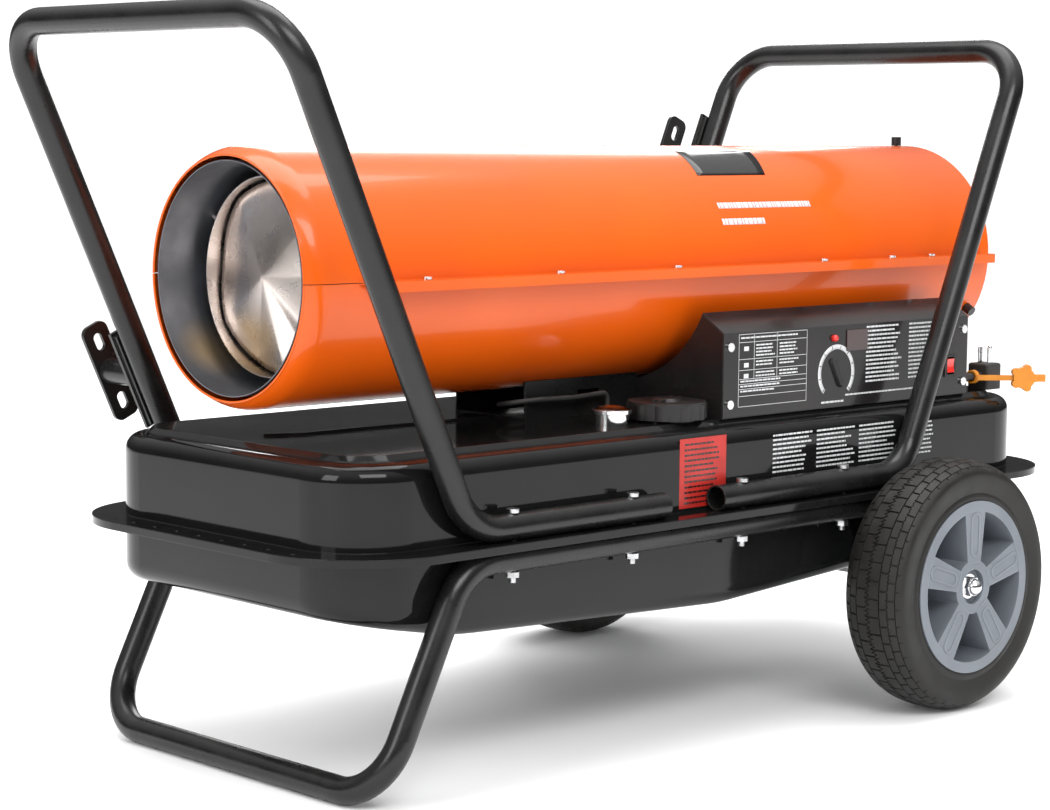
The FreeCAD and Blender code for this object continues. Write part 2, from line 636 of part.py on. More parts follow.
# ---- barrel and burner -----------------------------------------------------------------------
def shell_round(name):
    """The barrel's full round: sheet tube, nose drawn in along a curve, and the nose's rolled edge."""
    length = "barrel_rear - barrel_front - nose_length"
    start = ("barrel_front + nose_length", "0", "barrel_z")
    wall = cylinder(f"{name}_out", "barrel_r", length, start, "x")
    bore = cylinder(f"{name}_in", "barrel_r - shell_wall", f"{length} + 1", start, "x")
    swell = ring(f"{name}_swell", "barrel_r - nose_curve", "nose_curve", start, "x")
    inside = ring(f"{name}_swell_in", "barrel_r - nose_curve", "nose_curve - shell_wall", start, "x")
    front = ("barrel_front", "0", "barrel_z")
    zone = cut(f"{name}_zone", cylinder(f"{name}_zone_out", "barrel_r + 5", "nose_length + 0.2", front, "x"),
               cylinder(f"{name}_zone_in", "barrel_r - nose_curve", "nose_length + 1", front, "x"))
    nose = common(f"{name}_nose", cut(f"{name}_swell_sheet", swell, inside), zone)
    edge_r = "barrel_r - nose_curve + sqrt(nose_curve ^ 2 - nose_length ^ 2)"
    bead = ring(f"{name}_bead", f"{edge_r} - shell_wall / 2", "bead_r", ("barrel_front + bead_r / 2", "0", "barrel_z"),
                "x")
    return fuse(f"{name}_round", cut(f"{name}_tube", wall, bore), nose, bead)


def ledge(name, side, low_z, reach, lip):
    """One seam ledge: a flat strip beside the barrel, with a turned-down edge on the upper shell."""
    root = f"{side} * (barrel_r - shell_wall * 0.6)"
    edge = f"{side} * (barrel_r + {reach})"
    cut_back = f"ledge_front + {reach}"
    corners = (("ledge_front", root), (cut_back, edge), ("ledge_rear", edge), ("ledge_rear", root))
    strip = prism(f"{name}_strip", "XY_Plane", corners, "shell_wall", ("0", "0", low_z))
    if not lip:
        return strip
    inner = f"{side} * (barrel_r + {reach} - shell_wall)"
    bounds = sorted((edge, inner), key=size)
    band = box(f"{name}_lip", (cut_back, bounds[0], f"{low_z} - {lip}"), ("ledge_rear", bounds[1], f"{low_z} + 0.5"))
    return fuse(name, strip, band)


def seam_holes(name):
    """Clearance cutters for the screws through the seam ledges."""
    pins = [cylinder(f"{name}_{number}_{side}", "screw_hole_r", "8", (
        str(along), f"{side} * (barrel_r + ledge_reach / 2)", "barrel_z - 4"))
        for number, along in enumerate(SEAM_SCREW_X) for side in SIDES]
    return group(name, *pins)


def knob_direction(angle):
    """The radial direction of a guard knob, as expressions of its angle."""
    return f"cos({angle}deg)", f"sin({angle}deg)"


def guard_knob_holes(name):
    """Cutters for the guard screws through the barrel."""
    holes = []
    for angle in GUARD_KNOB_ANGLES:
        hole = cylinder(f"{name}_{angle}", "screw_hole_r", "barrel_r + 5", ("guard_knob_x", "0", "barrel_z"),
                        Rotation(Vector(1, 0, 0), angle - 90))
        holes.append(hole)
    return group(name, *holes)


def upper_shell():
    half = box("upper_space", ("barrel_front - 10", "0 - barrel_r - 10", "barrel_z + seam_gap / 2"),
               ("barrel_rear + 10", "barrel_r + 10", "barrel_z + barrel_r + 10"))
    low = "barrel_z + seam_gap / 2"
    ledges = [ledge(f"upper_ledge_{side}", side, low, "ledge_reach", "ledge_drop") for side in SIDES]
    shell = fuse("upper_shell_whole", common("upper_half", shell_round("upper"), half), *ledges)
    return node("upper_shell", cut("upper_shell_cut", shell, seam_holes("upper_seam"), guard_knob_holes("upper_knob")))


def lower_shell():
    half = box("lower_space", ("barrel_front - 10", "0 - barrel_r - 10", "barrel_z - barrel_r - 10"),
               ("barrel_rear + 10", "barrel_r + 10", "barrel_z - seam_gap / 2"))
    low = "barrel_z - seam_gap / 2 - shell_wall"
    ledges = [ledge(f"lower_ledge_{side}", side, low, "ledge_reach - shell_wall - fit_gap", None) for side in SIDES]
    shell = fuse("lower_shell_whole", common("lower_half", shell_round("lower"), half), *ledges)
    hose = cylinder("hose_hole", "5", "60", (HOSE_RISE[0], HOSE_RISE[1], "barrel_z - barrel_r - 20"))
    feet = group("motor_foot_holes", *[cylinder(f"foot_hole_{x}", "screw_hole_r", "30", (
        f"motor_front + {x}", "0", "barrel_z - barrel_r - 10")) for x in (25, 85)])
    wires = cylinder("wire_hole", "8", "60", ("chamber_rear + 45", "-25", "barrel_z - barrel_r - 20"))
    return node("lower_shell", cut("lower_shell_cut", shell, seam_holes("lower_seam"), guard_knob_holes("lower_knob"),
                                   hose, feet, wires))


HOSE_RISE = ("62", "-15")


def combustion_chamber():
    """The inner tube, open at the outlet, with stand-off feet that centre it in the barrel."""
    length = "chamber_rear - chamber_front"
    wall = cylinder("chamber_out", "chamber_r", length, ("chamber_front", "0", "barrel_z"), "x")
    bore = cylinder("chamber_in", "chamber_r - chamber_wall", f"{length} + 2", ("chamber_front - 1", "0", "barrel_z"), "x")
    feet = []
    for place_x in ("chamber_front + 60", "chamber_rear - 60"):
        for angle in (45, 135, 225, 315):
            foot = box(f"chamber_foot_{len(feet)}", ("-8", "-6", "chamber_r - 0.5"),
                       ("8", "6", "barrel_r - shell_wall - fit_gap"))
            feet.append(turned_foot(foot, place_x, angle))
    return node("combustion_chamber", fuse("chamber", cut("chamber_tube", wall, bore), *feet))


def turned_foot(foot, place_x, angle):
    """A block drawn above the axis, swung round the barrel's axis to an angle."""
    spin = Rotation(Vector(1, 0, 0), angle - 90)
    start = Vector(-8, -6, size("chamber_r - 0.5"))
    for axis in "xyz":
        foot.setExpression(f".Placement.Base.{axis}", None)
    moved = spin.multVec(start) + Vector(size(place_x), 0, size("barrel_z"))
    foot.Placement = Placement(moved, spin)
    return foot


def outlet():
    """The outlet ring on three struts, and the blunt flame cone inside it."""
    band = cut("ring_band", cylinder("ring_out", "ring_r", "ring_width", ("ring_front", "0", "barrel_z"), "x"),
               cylinder("ring_in", "ring_r - ring_wall", "ring_width + 2", ("ring_front - 1", "0", "barrel_z"), "x"))
    struts = []
    for number, angle in enumerate((30, 150, 270)):
        strut = cylinder(f"ring_strut_{number}", "3", "chamber_r - chamber_wall - ring_r + 0.6",
                         ring_point("ring_front + ring_width / 2", "ring_r - 0.6", angle),
                         Rotation(Vector(1, 0, 0), angle - 90))
        struts.append(strut)
    node("outlet_ring", fuse("ring_parts", band, *struts))
    outside = cone("cone_out", "cone_r", "4", "cone_rise", ("cone_base", "0", "barrel_z"), "-x")
    inside = cone("cone_in", "cone_r", "4", "cone_rise", ("cone_base + 1.2", "0", "barrel_z"), "-x")
    notches = []
    tabs = []
    for number in range(6):
        angle = 60 * number + 15
        notches.append(cylinder(f"cone_notch_{number}", "9", "cone_rise + 10",
                                ring_point("cone_base - cone_rise - 4", "cone_r + 4", angle), "x"))
        tabs.append(cylinder(f"cone_tab_{number}", "1.6", "ring_r - ring_wall - cone_r + 3.9",
                             ring_point("cone_base - 1", "cone_r - 4", angle + 30),
                             Rotation(Vector(1, 0, 0), angle + 30 - 90)))
    dish = cut("cone_dish", outside, inside, *notches)
    return node("flame_cone", fuse("cone_parts", dish, *tabs))


def ring_point(place_x, radius, angle):
    """A point on a circle round the barrel's axis, as three expressions."""
    across, up = knob_direction(angle)
    return place_x, f"({radius}) * {across}", f"barrel_z + ({radius}) * {up}"


def burner():
    """The burner head closes the chamber's rear and carries nozzle, igniter and flame sensor."""
    disc = cylinder("head_disc", "chamber_r - chamber_wall - fit_gap", "2", ("chamber_rear - 6", "0", "barrel_z"), "x")
    skirt = cut("head_skirt", cylinder("head_skirt_out", "chamber_r - chamber_wall - fit_gap", "14",
                                       ("chamber_rear - 18", "0", "barrel_z"), "x"),
                cylinder("head_skirt_in", "chamber_r - chamber_wall - fit_gap - 1.5", "20",
                         ("chamber_rear - 20", "0", "barrel_z"), "x"))
    collar = cut("head_collar", cylinder("collar_out", "34", "30", ("chamber_rear - 30", "0", "barrel_z"), "x"),
                 cylinder("collar_in", "32.5", "26", ("chamber_rear - 31", "0", "barrel_z"), "x"))
    slots = []
    for number in range(12):
        angle = 30 * number
        slots.append(cylinder(f"air_slot_{number}", "6", "10", ring_point("chamber_rear - 10", "62", angle), "x"))
    bores = [cylinder("nozzle_bore", "nozzle_r + fit_gap", "60", ("chamber_rear - 40", "0", "barrel_z"), "x"),
             cylinder("igniter_bore", "6 + fit_gap", "60", ("chamber_rear - 40", "20", "barrel_z + 8"), "x"),
             cylinder("sensor_bore", "5 + fit_gap", "60", ("chamber_rear - 40", "-86", "barrel_z"), "x")]
    node("burner_head", cut("head", fuse("head_parts", disc, skirt, collar), *slots, *bores))
    holder = cylinder("nozzle_holder", "nozzle_r", "58", ("chamber_rear - 20", "0", "barrel_z"), "x")
    tip = cone("nozzle_tip", "nozzle_r", "3", "10", ("chamber_rear - 20", "0", "barrel_z"), "-x")
    node("burner_nozzle", fuse("nozzle", holder, tip))
    insulator = cylinder("igniter_body", "6", "50", ("chamber_rear - 22", "20", "barrel_z + 8"), "x")
    rod = cylinder("igniter_rod", "1.2", "12", ("chamber_rear - 34", "20", "barrel_z + 8"), "x")
    node("spark_igniter", fuse("igniter", insulator, rod))
    node("flame_sensor", cylinder("sensor", "5", "26", ("chamber_rear - 8", "-86", "barrel_z"), "x"))


# ---- motor, fan and air pump -----------------------------------------------------------------
def motor_and_fan():
    back = "motor_front + motor_length"
    body = rounded("motor_case", cylinder("motor_round", "motor_r", "motor_length",
                                          ("motor_front", "0", "barrel_z"), "x"), "6",
                   lambda edge: edge.BoundBox.XLength < 0.01)
    bore = cylinder("motor_bore", "shaft_r + running_gap", "motor_length + 2", ("motor_front - 1", "0", "barrel_z"), "x")
    node("motor", cut("motor_cut", body, bore))
    bracket()
    shaft_end = f"{back} + 10 + rotor_length + 5"
    shaft = cylinder("shaft", "shaft_r", f"{shaft_end} - shaft_front", ("shaft_front", "0", "barrel_z"), "x")
    node("motor_shaft", shaft)
    fan()
    pump(back)


def bracket():
    """A sheet cradle that stands the motor on the lower shell."""
    low = ("motor_front + 10", "-34", "barrel_z - sqrt((barrel_r - shell_wall) ^ 2 - 34 ^ 2) + 2")
    high = ("motor_front + 98", "34", "barrel_z - 34")
    block = box("bracket_block", low, high)
    core = box("bracket_core", ("motor_front", "-32", "barrel_z - barrel_r"), ("motor_front + 110", "32", "barrel_z - 30"))
    seat = cylinder("bracket_seat", "motor_r + 0.05", "130", ("motor_front - 10", "0", "barrel_z"), "x")
    plate = box("bracket_floor", ("motor_front + 10", "-34", low[2]), ("motor_front + 98", "34", f"{low[2]} + 2"))
    feet = [cylinder(f"bracket_foot_{x}", "6", f"({low[2]}) - (barrel_z - barrel_r + shell_wall) - 0.6",
                     (f"motor_front + {x}", "0", "barrel_z - barrel_r + shell_wall + 0.6")) for x in (25, 85)]
    sides = cut("bracket_sides", block, core, seat)
    return node("motor_bracket", fuse("bracket", sides, plate, *feet))


def fan():
    """Four pitched blades on a hub keyed to the motor shaft."""
    hub = cylinder("fan_hub", "fan_hub_r", "fan_depth", ("fan_front", "0", "barrel_z"), "x")
    blades = []
    middle = Vector(size("fan_front + fan_depth / 2"), 0, size("barrel_z"))
    for number in range(BLADES):
        chord, sheet_t = size("blade_chord"), size("blade_sheet")
        inner, outer = size("fan_hub_r - 3"), size("fan_r")
        blade = Part.makeBox(sheet_t, chord, outer - inner, Vector(-sheet_t / 2, -chord / 2, inner))
        rim_round = Part.makeCylinder(outer, 80, Vector(-40, 0, 0), Vector(1, 0, 0))
        blade.rotate(Vector(), Vector(0, 0, 1), size("fan_pitch"))
        blade = blade.common(rim_round)
        blade.rotate(Vector(), Vector(1, 0, 0), 360 / BLADES * number)
        blade.translate(middle)
        blades.append(made(f"fan_blade_{number}", blade))
    bore = cylinder("fan_bore", "shaft_r", "60", ("fan_front - 10", "0", "barrel_z"), "x")
    return node("fan", cut("fan_cut", fuse("fan_parts", hub, *blades), bore))


def pump(back):
    """A vane air pump on the motor's rear, its rotor on the motor shaft, and the filter cover."""
    start = f"{back} + fit_gap"
    body = cylinder("pump_case", "pump_r", "pump_length", (start, "0", "barrel_z"), "x")
    room = cylinder("pump_room", "pump_chamber_r", "pump_length", (f"{back} + 8", "0", "barrel_z + 2.4"), "x")
    bore = cylinder("pump_bore", "shaft_r + running_gap", "20", (f"{back} - 5", "0", "barrel_z"), "x")
    port = cylinder("pump_port", "2.5", "60", (f"{back} + 24", PUMP_PORT[0], "barrel_z - 60"), "z")
    node("pump_body", cut("pump_cut", body, room, bore, port))
    rotor = cut("rotor_ring", cylinder("rotor", "rotor_r", "rotor_length", (f"{back} + 10", "0", "barrel_z"), "x"),
                cylinder("rotor_bore", "shaft_r", "rotor_length + 2", (f"{back} + 9", "0", "barrel_z"), "x"))
    node("pump_rotor", rotor)
    cover_start = f"{start} + pump_length"
    cover = cylinder("cover_case", "pump_r - 2", "filter_length", (cover_start, "0", "barrel_z"), "x")
    inside = cylinder("cover_room", "pump_r - 5", "filter_length - 3", (f"{cover_start} - 1", "0", "barrel_z"), "x")
    intake = group("cover_intakes", *[cylinder(f"cover_intake_{number}", "4", "10", ring_point(
        f"{cover_start} + filter_length - 6", "28", 60 * number), "x") for number in range(6)])
    return node("filter_cover", cut("cover_cut", cover, inside, intake))


PUMP_PORT = ("-30",)


def fan_guard():
    """Wire rings and spokes across the rear opening, with three tabs under the guard knobs."""
    wires = []
    for number in range(1, int(size("guard_rings")) + 1):
        wires.append(ring(f"guard_ring_{number}", f"guard_r * {number} / guard_rings", "guard_wire",
                          ("guard_x", "0", "barrel_z"), "x"))
    wires.append(cylinder("guard_hub", "12", "guard_wire * 2", ("guard_x + guard_wire * 0.6", "0", "barrel_z"), "x"))
    for number in range(6):
        angle = 60 * number + 30
        wires.append(cylinder(f"guard_spoke_{number}", "guard_wire", "guard_r - 8",
                              ring_point("guard_x + guard_wire * 1.6", "8", angle), Rotation(Vector(1, 0, 0), angle - 90)))
    tabs = []
    for angle in GUARD_KNOB_ANGLES:
        tab = cylinder(f"guard_tab_{angle}", "7", "barrel_r - shell_wall - guard_r + 1.2",
                       ring_point("guard_knob_x + 5", "guard_r - 1.5", angle), Rotation(Vector(1, 0, 0), angle - 90))
        tabs.append(tab)
    drills = guard_knob_holes("guard_tab_holes")
    return node("fan_guard", cut("guard_cut", fuse("guard_parts", *wires, *tabs), drills))


def guard_knobs():
    knobs = []
    for angle in GUARD_KNOB_ANGLES:
        turn = Rotation(Vector(1, 0, 0), angle - 90)
        head = cylinder(f"knob_head_{angle}", "guard_knob_r", "guard_knob",
                        ring_point("guard_knob_x", "barrel_r + fit_gap", angle), turn)
        shank = cylinder(f"knob_shank_{angle}", "screw_r", "9",
                         ring_point("guard_knob_x", "barrel_r - 8", angle), turn)
        knobs.append(fuse(f"knob_{angle}", head, shank))
    return node("guard_knobs", group("knobs", *knobs))


# ---- hoses -----------------------------------------------------------------------------------
def hoses():
    """Fuel hose from the tank union under the barrel to the nozzle, and air hose from the pump."""
    top = size("tank_top")
    axis = size("barrel_z")
    rise_x, rise_y = float(HOSE_RISE[0]), float(HOSE_RISE[1])
    holder_end = size("chamber_rear") + 38
    fuel = [Vector(-20, -60, top + 7), Vector(-20, -60, top + 22), Vector(-70, -61, top + 20),
            Vector(-118, -60, top + 21), Vector(-146, -40, top + 17), Vector(-130, -16, top + 13),
            Vector(-60, rise_y, top + 12), Vector(rise_x, rise_y, top + 12),
            Vector(rise_x, rise_y, axis - 40), Vector(rise_x, 0, axis - size("nozzle_r") - 1)]
    bends = [7, 40, 30, 12, 12, 30, 12, 18]
    node("fuel_hose", made("fuel_hose_pipe", pipe(fuel, bends, 2.5)))
    lane_y, lane_z = -78, axis - 78
    port_x = size("motor_front + motor_length") + 24
    air = [Vector(port_x, float(PUMP_PORT[0]), axis - 47), Vector(port_x, float(PUMP_PORT[0]), axis - 84),
           Vector(port_x - 30, lane_y, lane_z), Vector(holder_end + 60, lane_y, lane_z),
           Vector(holder_end - 6, lane_y + 20, lane_z + 10), Vector(holder_end - 6, -11.5, axis)]
    node("air_hose", made("air_hose_pipe", pipe(air, [12, 15, 20, 14], 3)))


# ---- barrel support and control box ----------------------------------------------------------
def barrel_cutter(name, low_x, high_x):
    """The barrel's round with the clearance that the pieces under it keep."""
    return cylinder(name, "barrel_r + shell_gap", f"({high_x}) - ({low_x})", (low_x, "0", "barrel_z"), "x")


def barrel_support():
    """A sheet channel ahead of the control box that carries the barrel on its two walls."""
    low, high = "support_front", "box_left - fit_gap"
    walls = [box(f"support_wall_{side}", (low, f"{side} * support_half - support_wall / 2", "tank_top"),
                 (high, f"{side} * support_half + support_wall / 2", "barrel_z - 90")) for side in SIDES]
    floor = box("support_floor", (low, "0 - support_half", "tank_top"), (high, "support_half", "tank_top + support_wall"))
    slot = box("support_slot", ("support_front + 72", "0 - support_half - 5", "tank_top + 20"),
               ("support_front + 104", "support_half + 5", "tank_top + 26"))
    pickup = cylinder("support_pickup", "11", "10", (*PICKUP, "tank_top - 2"))
    whole = fuse("support", *walls, floor)
    return node("barrel_support", cut("support_cut", whole, barrel_cutter("support_round", "support_front - 5", "box_left"),
                                      slot, pickup))


def box_side(name, at_x):
    """One end wall of the control box, with its curved cut under the barrel."""
    corners = (("box_face + box_wall + 0.1", "tank_top"), ("box_face + box_wall + 0.1", "box_face_top - 1"),
               ("box_brow_y", "box_brow_z - 1.8"), ("box_back", "box_brow_z - 1.8"), ("box_back", "tank_top"))
    wall = prism(name, "YZ_Plane", corners, "box_wall", (at_x, "0", "0"))
    sweep = cylinder(f"{name}_sweep", "saddle_r", "20", (f"{at_x} - 10", "saddle_y", "saddle_z"), "x")
    beyond = box(f"{name}_beyond", (f"{at_x} - 5", "60", "box_back_z"), (f"{at_x} + 5", "box_back + 5", "box_brow_z"))
    return cut(f"{name}_cut", wall, barrel_cutter(f"{name}_round", f"{at_x} - 10", f"{at_x} + 10"), sweep, beyond)


def control_box():
    """The folded box behind the control face: two end walls, a floor and a back."""
    left = box_side("box_left_wall", "box_left")
    right = box_side("box_right_wall", "box_right - box_wall")
    floor = box("box_floor", ("box_left", "box_face + box_wall + 0.1", "tank_top"),
                ("box_right", "box_back", "tank_top + box_wall"))
    back = box("box_back_wall", ("box_left", "box_back - box_wall", "tank_top"), ("box_right", "box_back", "box_back_z"))
    tabs = []
    for wall_x, inward in (("box_left", 1), ("box_right", -1)):
        for height in ("tank_top + 14", "box_face_top - 14"):
            corner = sorted((wall_x, f"{wall_x} + {inward} * 16"), key=size)
            tabs.append(box(f"box_tab_{len(tabs)}", (corner[0], "box_face + box_wall + 0.1", f"{height} - 9"),
                            (corner[1], "box_face + box_wall + 1.3", f"{height} + 9")))
    shell = fuse("box", left, right, floor, back, *tabs)
    bushing = cylinder("bushing_hole", "7.5 + fit_gap", "20", ("box_right - 10", "exit_y", "exit_z"), "x")
    hose = box("box_hose_slot", ("box_left - 2", "-25", "tank_top + 5"), ("box_left + 5", "-5", "tank_top + 20"))
    return node("control_box", cut("box_cut", shell, bushing, hose, panel_screw_holes("box_screw_holes")))


def panel_screws_at():
    """The four corner screws of the control face, as expressions along X and Z."""
    low, high = "box_left + screw_inset", "box_right - screw_inset"
    return [(along, up) for along in (low, high) for up in ("tank_top + 14", "box_face_top - 14")]


def panel_screw_holes(name):
    return group(name, *[cylinder(f"{name}_{number}", "screw_hole_r", "20", (along, "box_face - 10", up), "y")
                         for number, (along, up) in enumerate(panel_screws_at())])


def control_cover():
    """The folded cover: control face and sloping brow in one sheet, with its openings."""
    corners = (("box_face", "tank_top + 1"), ("box_face", "box_face_top"), ("box_brow_y", "box_brow_z"),
               ("box_brow_y + 0.66", "box_brow_z - 1"), ("box_face + box_wall", "box_face_top - 0.62"),
               ("box_face + box_wall", "tank_top + 1"))
    sheet_part = prism("cover_sheet", "YZ_Plane", corners, "box_right - box_left", ("box_left", "0", "0"))
    stem = cylinder("cover_stem_hole", "5", "20", ("knob_x", "box_face - 10", "knob_z"), "y")
    lamp = cylinder("cover_lamp_hole", "lamp_r + fit_gap / 2", "20", ("knob_x - 5", "box_face - 10", "lamp_z"), "y")
    window = box("cover_window", ("window_x - window_width / 2 + 3", "box_face - 5", "window_z - window_height / 2 + 3"),
                 ("window_x + window_width / 2 - 3", "box_face + 5", "window_z + window_height / 2 - 3"))
    switch = box("cover_switch", ("switch_x - switch_width / 2 + 2", "box_face - 5", "switch_z - switch_height / 2 + 2"),
                 ("switch_x + switch_width / 2 - 2", "box_face + 5", "switch_z + switch_height / 2 - 2"))
    return node("control_cover", cut("cover_face", sheet_part, stem, lamp, window, switch,
                                     panel_screw_holes("cover_screw_holes")))


def controls():
    """Thermostat, lamp, display, switch and the board behind them."""
    face = "box_face"
    grip = cylinder("knob_grip", "knob_r - 3", "knob_depth", ("knob_x", f"{face} - end_gap", "knob_z"), "-y")
    skirt = cylinder("knob_skirt", "knob_r", "4", ("knob_x", f"{face} - end_gap", "knob_z"), "-y")
    pointer = box("knob_pointer", ("knob_x - 1.2", f"{face} - end_gap - knob_depth - 1", "knob_z + 4"),
                  ("knob_x + 1.2", f"{face} - end_gap - knob_depth + 1", "knob_z + knob_r - 4"))
    stem = cylinder("knob_stem", "stem_r", "14", ("knob_x", f"{face} + 13", "knob_z"), "-y")
    node("thermostat_knob", fuse("knob", grip, skirt, pointer, stem))
    body = cut("thermostat_case", box("thermostat_box", ("knob_x - 15", f"{face} + 4", "knob_z - 15"),
                                      ("knob_x + 15", f"{face} + 26", "knob_z + 15")),
               cylinder("thermostat_bore", "stem_r + running_gap", "20", ("knob_x", f"{face} + 14", "knob_z"), "-y"))
    node("thermostat", body)
    lamp = fuse("lamp", cylinder("lamp_body", "lamp_r", "7", ("knob_x - 5", f"{face} + 5", "lamp_z"), "-y"),
                ball("lamp_dome", "lamp_r", ("knob_x - 5", f"{face} - 2", "lamp_z")))
    node("indicator_lamp", lamp)
    half_w, half_h = "window_width / 2", "window_height / 2"
    node("display_window", box("window", (f"window_x - {half_w}", f"{face} - 1.2", f"window_z - {half_h}"),
                               (f"window_x + {half_w}", face, f"window_z + {half_h}")))
    board = box("board", ("knob_x + 24", f"{face} + 12", "tank_top + 12"), ("knob_x + 130", f"{face} + 13.6", "box_face_top - 6"))
    parts = [box("board_display", ("window_x - 12", f"{face} + 4", "window_z - 7"),
                 ("window_x + 12", f"{face} + 12.1", "window_z + 7")),
             box("board_relay", ("knob_x + 60", f"{face} + 13.5", "tank_top + 20"),
                 ("knob_x + 80", f"{face} + 30", "tank_top + 40")),
             cylinder("board_capacitor", "7", "24", ("knob_x + 105", f"{face} + 13.5", "tank_top + 35"), "y")]
    node("circuit_board", fuse("board_parts", board, *parts))
    node("ignition_transformer", box("transformer", ("box_left + 14", f"{face} + 8", "tank_top + 4"),
                                     ("box_left + 94", f"{face} + 62", "tank_top + 50")))
    switch(face)


def switch(face):
    """A rocker on a pivot inside its frame."""
    half_w, half_h = "switch_width / 2", "switch_height / 2"
    flange = box("switch_flange", (f"switch_x - {half_w}", f"{face} - 1.5", f"switch_z - {half_h}"),
                 (f"switch_x + {half_w}", face, f"switch_z + {half_h}"))
    body = box("switch_body", (f"switch_x - {half_w} + 2.2", f"{face} - 0.5", f"switch_z - {half_h} + 2.2"),
               (f"switch_x + {half_w} - 2.2", f"{face} + 22", f"switch_z + {half_h} - 2.2"))
    room = box("switch_room", ("switch_x - rocker_width / 2 - fit_gap", f"{face} - 5", "switch_z - rocker_height / 2 - 1"),
               ("switch_x + rocker_width / 2 + fit_gap", f"{face} + 12", "switch_z + rocker_height / 2 + 1"))
    pivot = cylinder("switch_pivot", "1.2", "rocker_width + 4", ("switch_x - rocker_width / 2 - 2", f"{face} + 4", "switch_z"), "x")
    node("switch_frame", cut("switch_cut", fuse("switch_parts", flange, body), room, pivot))
    disc = cylinder("rocker_disc", "rocker_r", "rocker_width", ("switch_x - rocker_width / 2", f"{face} + 4", "switch_z"), "x")
    slab = box("rocker_slab", ("switch_x - rocker_width / 2", f"{face} - 5", "switch_z - rocker_height / 2 + 1"),
               ("switch_x + rocker_width / 2", f"{face} + 6", "switch_z + rocker_height / 2 - 1"))
    pin = cylinder("rocker_pin", "1.2 - running_gap", "rocker_width + 3",
                   ("switch_x - rocker_width / 2 - 1.5", f"{face} + 4", "switch_z"), "x")
    dip = cylinder("rocker_dip", "26", "rocker_width + 2", ("switch_x - rocker_width / 2 - 1", f"{face} - 27", "switch_z"), "x")
    slab_cut = cut("rocker_face", common("rocker_round", disc, slab), dip)
    return node("switch_rocker", fuse("rocker", slab_cut, pin))


def cover_screws():
    """The bright screws of the seam ledges and of the control face, all of one kind."""
    screws = []
    for number, along in enumerate(SEAM_SCREW_X):
        for side in SIDES:
            spot = (str(along), f"{side} * (barrel_r + ledge_reach / 2)")
            head_z = "barrel_z + seam_gap / 2 + shell_wall"
            head = cylinder(f"seam_head_{number}_{side}", "screw_head_r", "screw_head", (*spot, head_z))
            shank = cylinder(f"seam_shank_{number}_{side}", "screw_r", "screw_length", (*spot, f"{head_z} - screw_length + 0.5"))
            screws.append(fuse(f"seam_screw_{number}_{side}", head, shank))
    for number, (along, up) in enumerate(panel_screws_at()):
        head = cylinder(f"panel_head_{number}", "screw_head_r", "screw_head", (along, "box_face", up), "-y")
        shank = cylinder(f"panel_shank_{number}", "screw_r", "screw_length", (along, "box_face + screw_length - 0.5", up), "-y")
        screws.append(fuse(f"panel_screw_{number}", head, shank))
    return node("cover_screws", group("screws", *screws))


# ---- cord, plug and plug cover ---------------------------------------------------------------
CORD_POINTS = ((451, 0, 324), (457, 0, 324), (463.5, 1, 323.5), (469.5, 2.4, 323), (475.5, 2.4, 323))


def cord_and_plug():
    """A short power lead out of the box wall, ending in an angled plug that stands on the tank."""
    wall_x = "box_right"
    relief = cone("bushing_cone", "7", "cord_r + 1", "bushing_length - 3", (f"{wall_x} + 3", "exit_y", "exit_z"), "x")
    flange = cylinder("bushing_flange", "9", "3", (wall_x, "exit_y", "exit_z"), "x")
    neck = cylinder("bushing_neck", "7.5", "10", (f"{wall_x} - 9.5", "exit_y", "exit_z"), "x")
    node("cord_bushing", fuse("bushing", relief, flange, neck))
    route = [Vector(along, size("exit_y") + aside, height) for along, aside, height in CORD_POINTS]
    bends = hose_bends(route)
    cord = pipe(route, bends, size("cord_r"))
    runs = sum((b - a).Length for a, b in zip(route, route[1:]))
    print("cord radii", [round(bend, 1) for bend in bends], "runs", round(runs, 1),
          "volume ratio", round(cord.Volume / (math.pi * size("cord_r") ** 2 * path_of(route, bends).Length), 4))
    node("power_cord", made("cord_pipe", cord))
    low = ("plug_x - plug_width / 2", "plug_y - plug_width / 2", "tank_top")
    high = ("plug_x + plug_width / 2", "plug_y + plug_width / 2", "tank_top + plug_height")
    body = rounded("plug_round", box("plug_block", low, high), "3", lambda edge: edge.BoundBox.ZLength > 5
                   or edge.BoundBox.ZMin > size("tank_top + plug_height") - 0.01)
    neck_length = "2"
    collar = cylinder("plug_neck", "5.5", neck_length, ("plug_x - plug_width / 2 - 2", "plug_y - 1.6", "tank_top + 14.5"), "x")
    node("plug_body", fuse("plug", body, collar))
    top = "tank_top + plug_height"
    blades = [box(f"plug_blade_{side}", (f"plug_x - 3.2", f"plug_y + {side} * 6.35 - 0.75", top),
                  (f"plug_x + 3.2", f"plug_y + {side} * 6.35 + 0.75", f"{top} + 17")) for side in SIDES]
    pin = fuse("plug_pin", cylinder("plug_pin_bar", "2.4", "16.5", ("plug_x + 9", "plug_y", top)),
               ball("plug_pin_tip", "2.4", ("plug_x + 9", "plug_y", f"{top} + 16.5")))
    node("plug_blades", group("blades", *blades, pin))
    plug_cover()


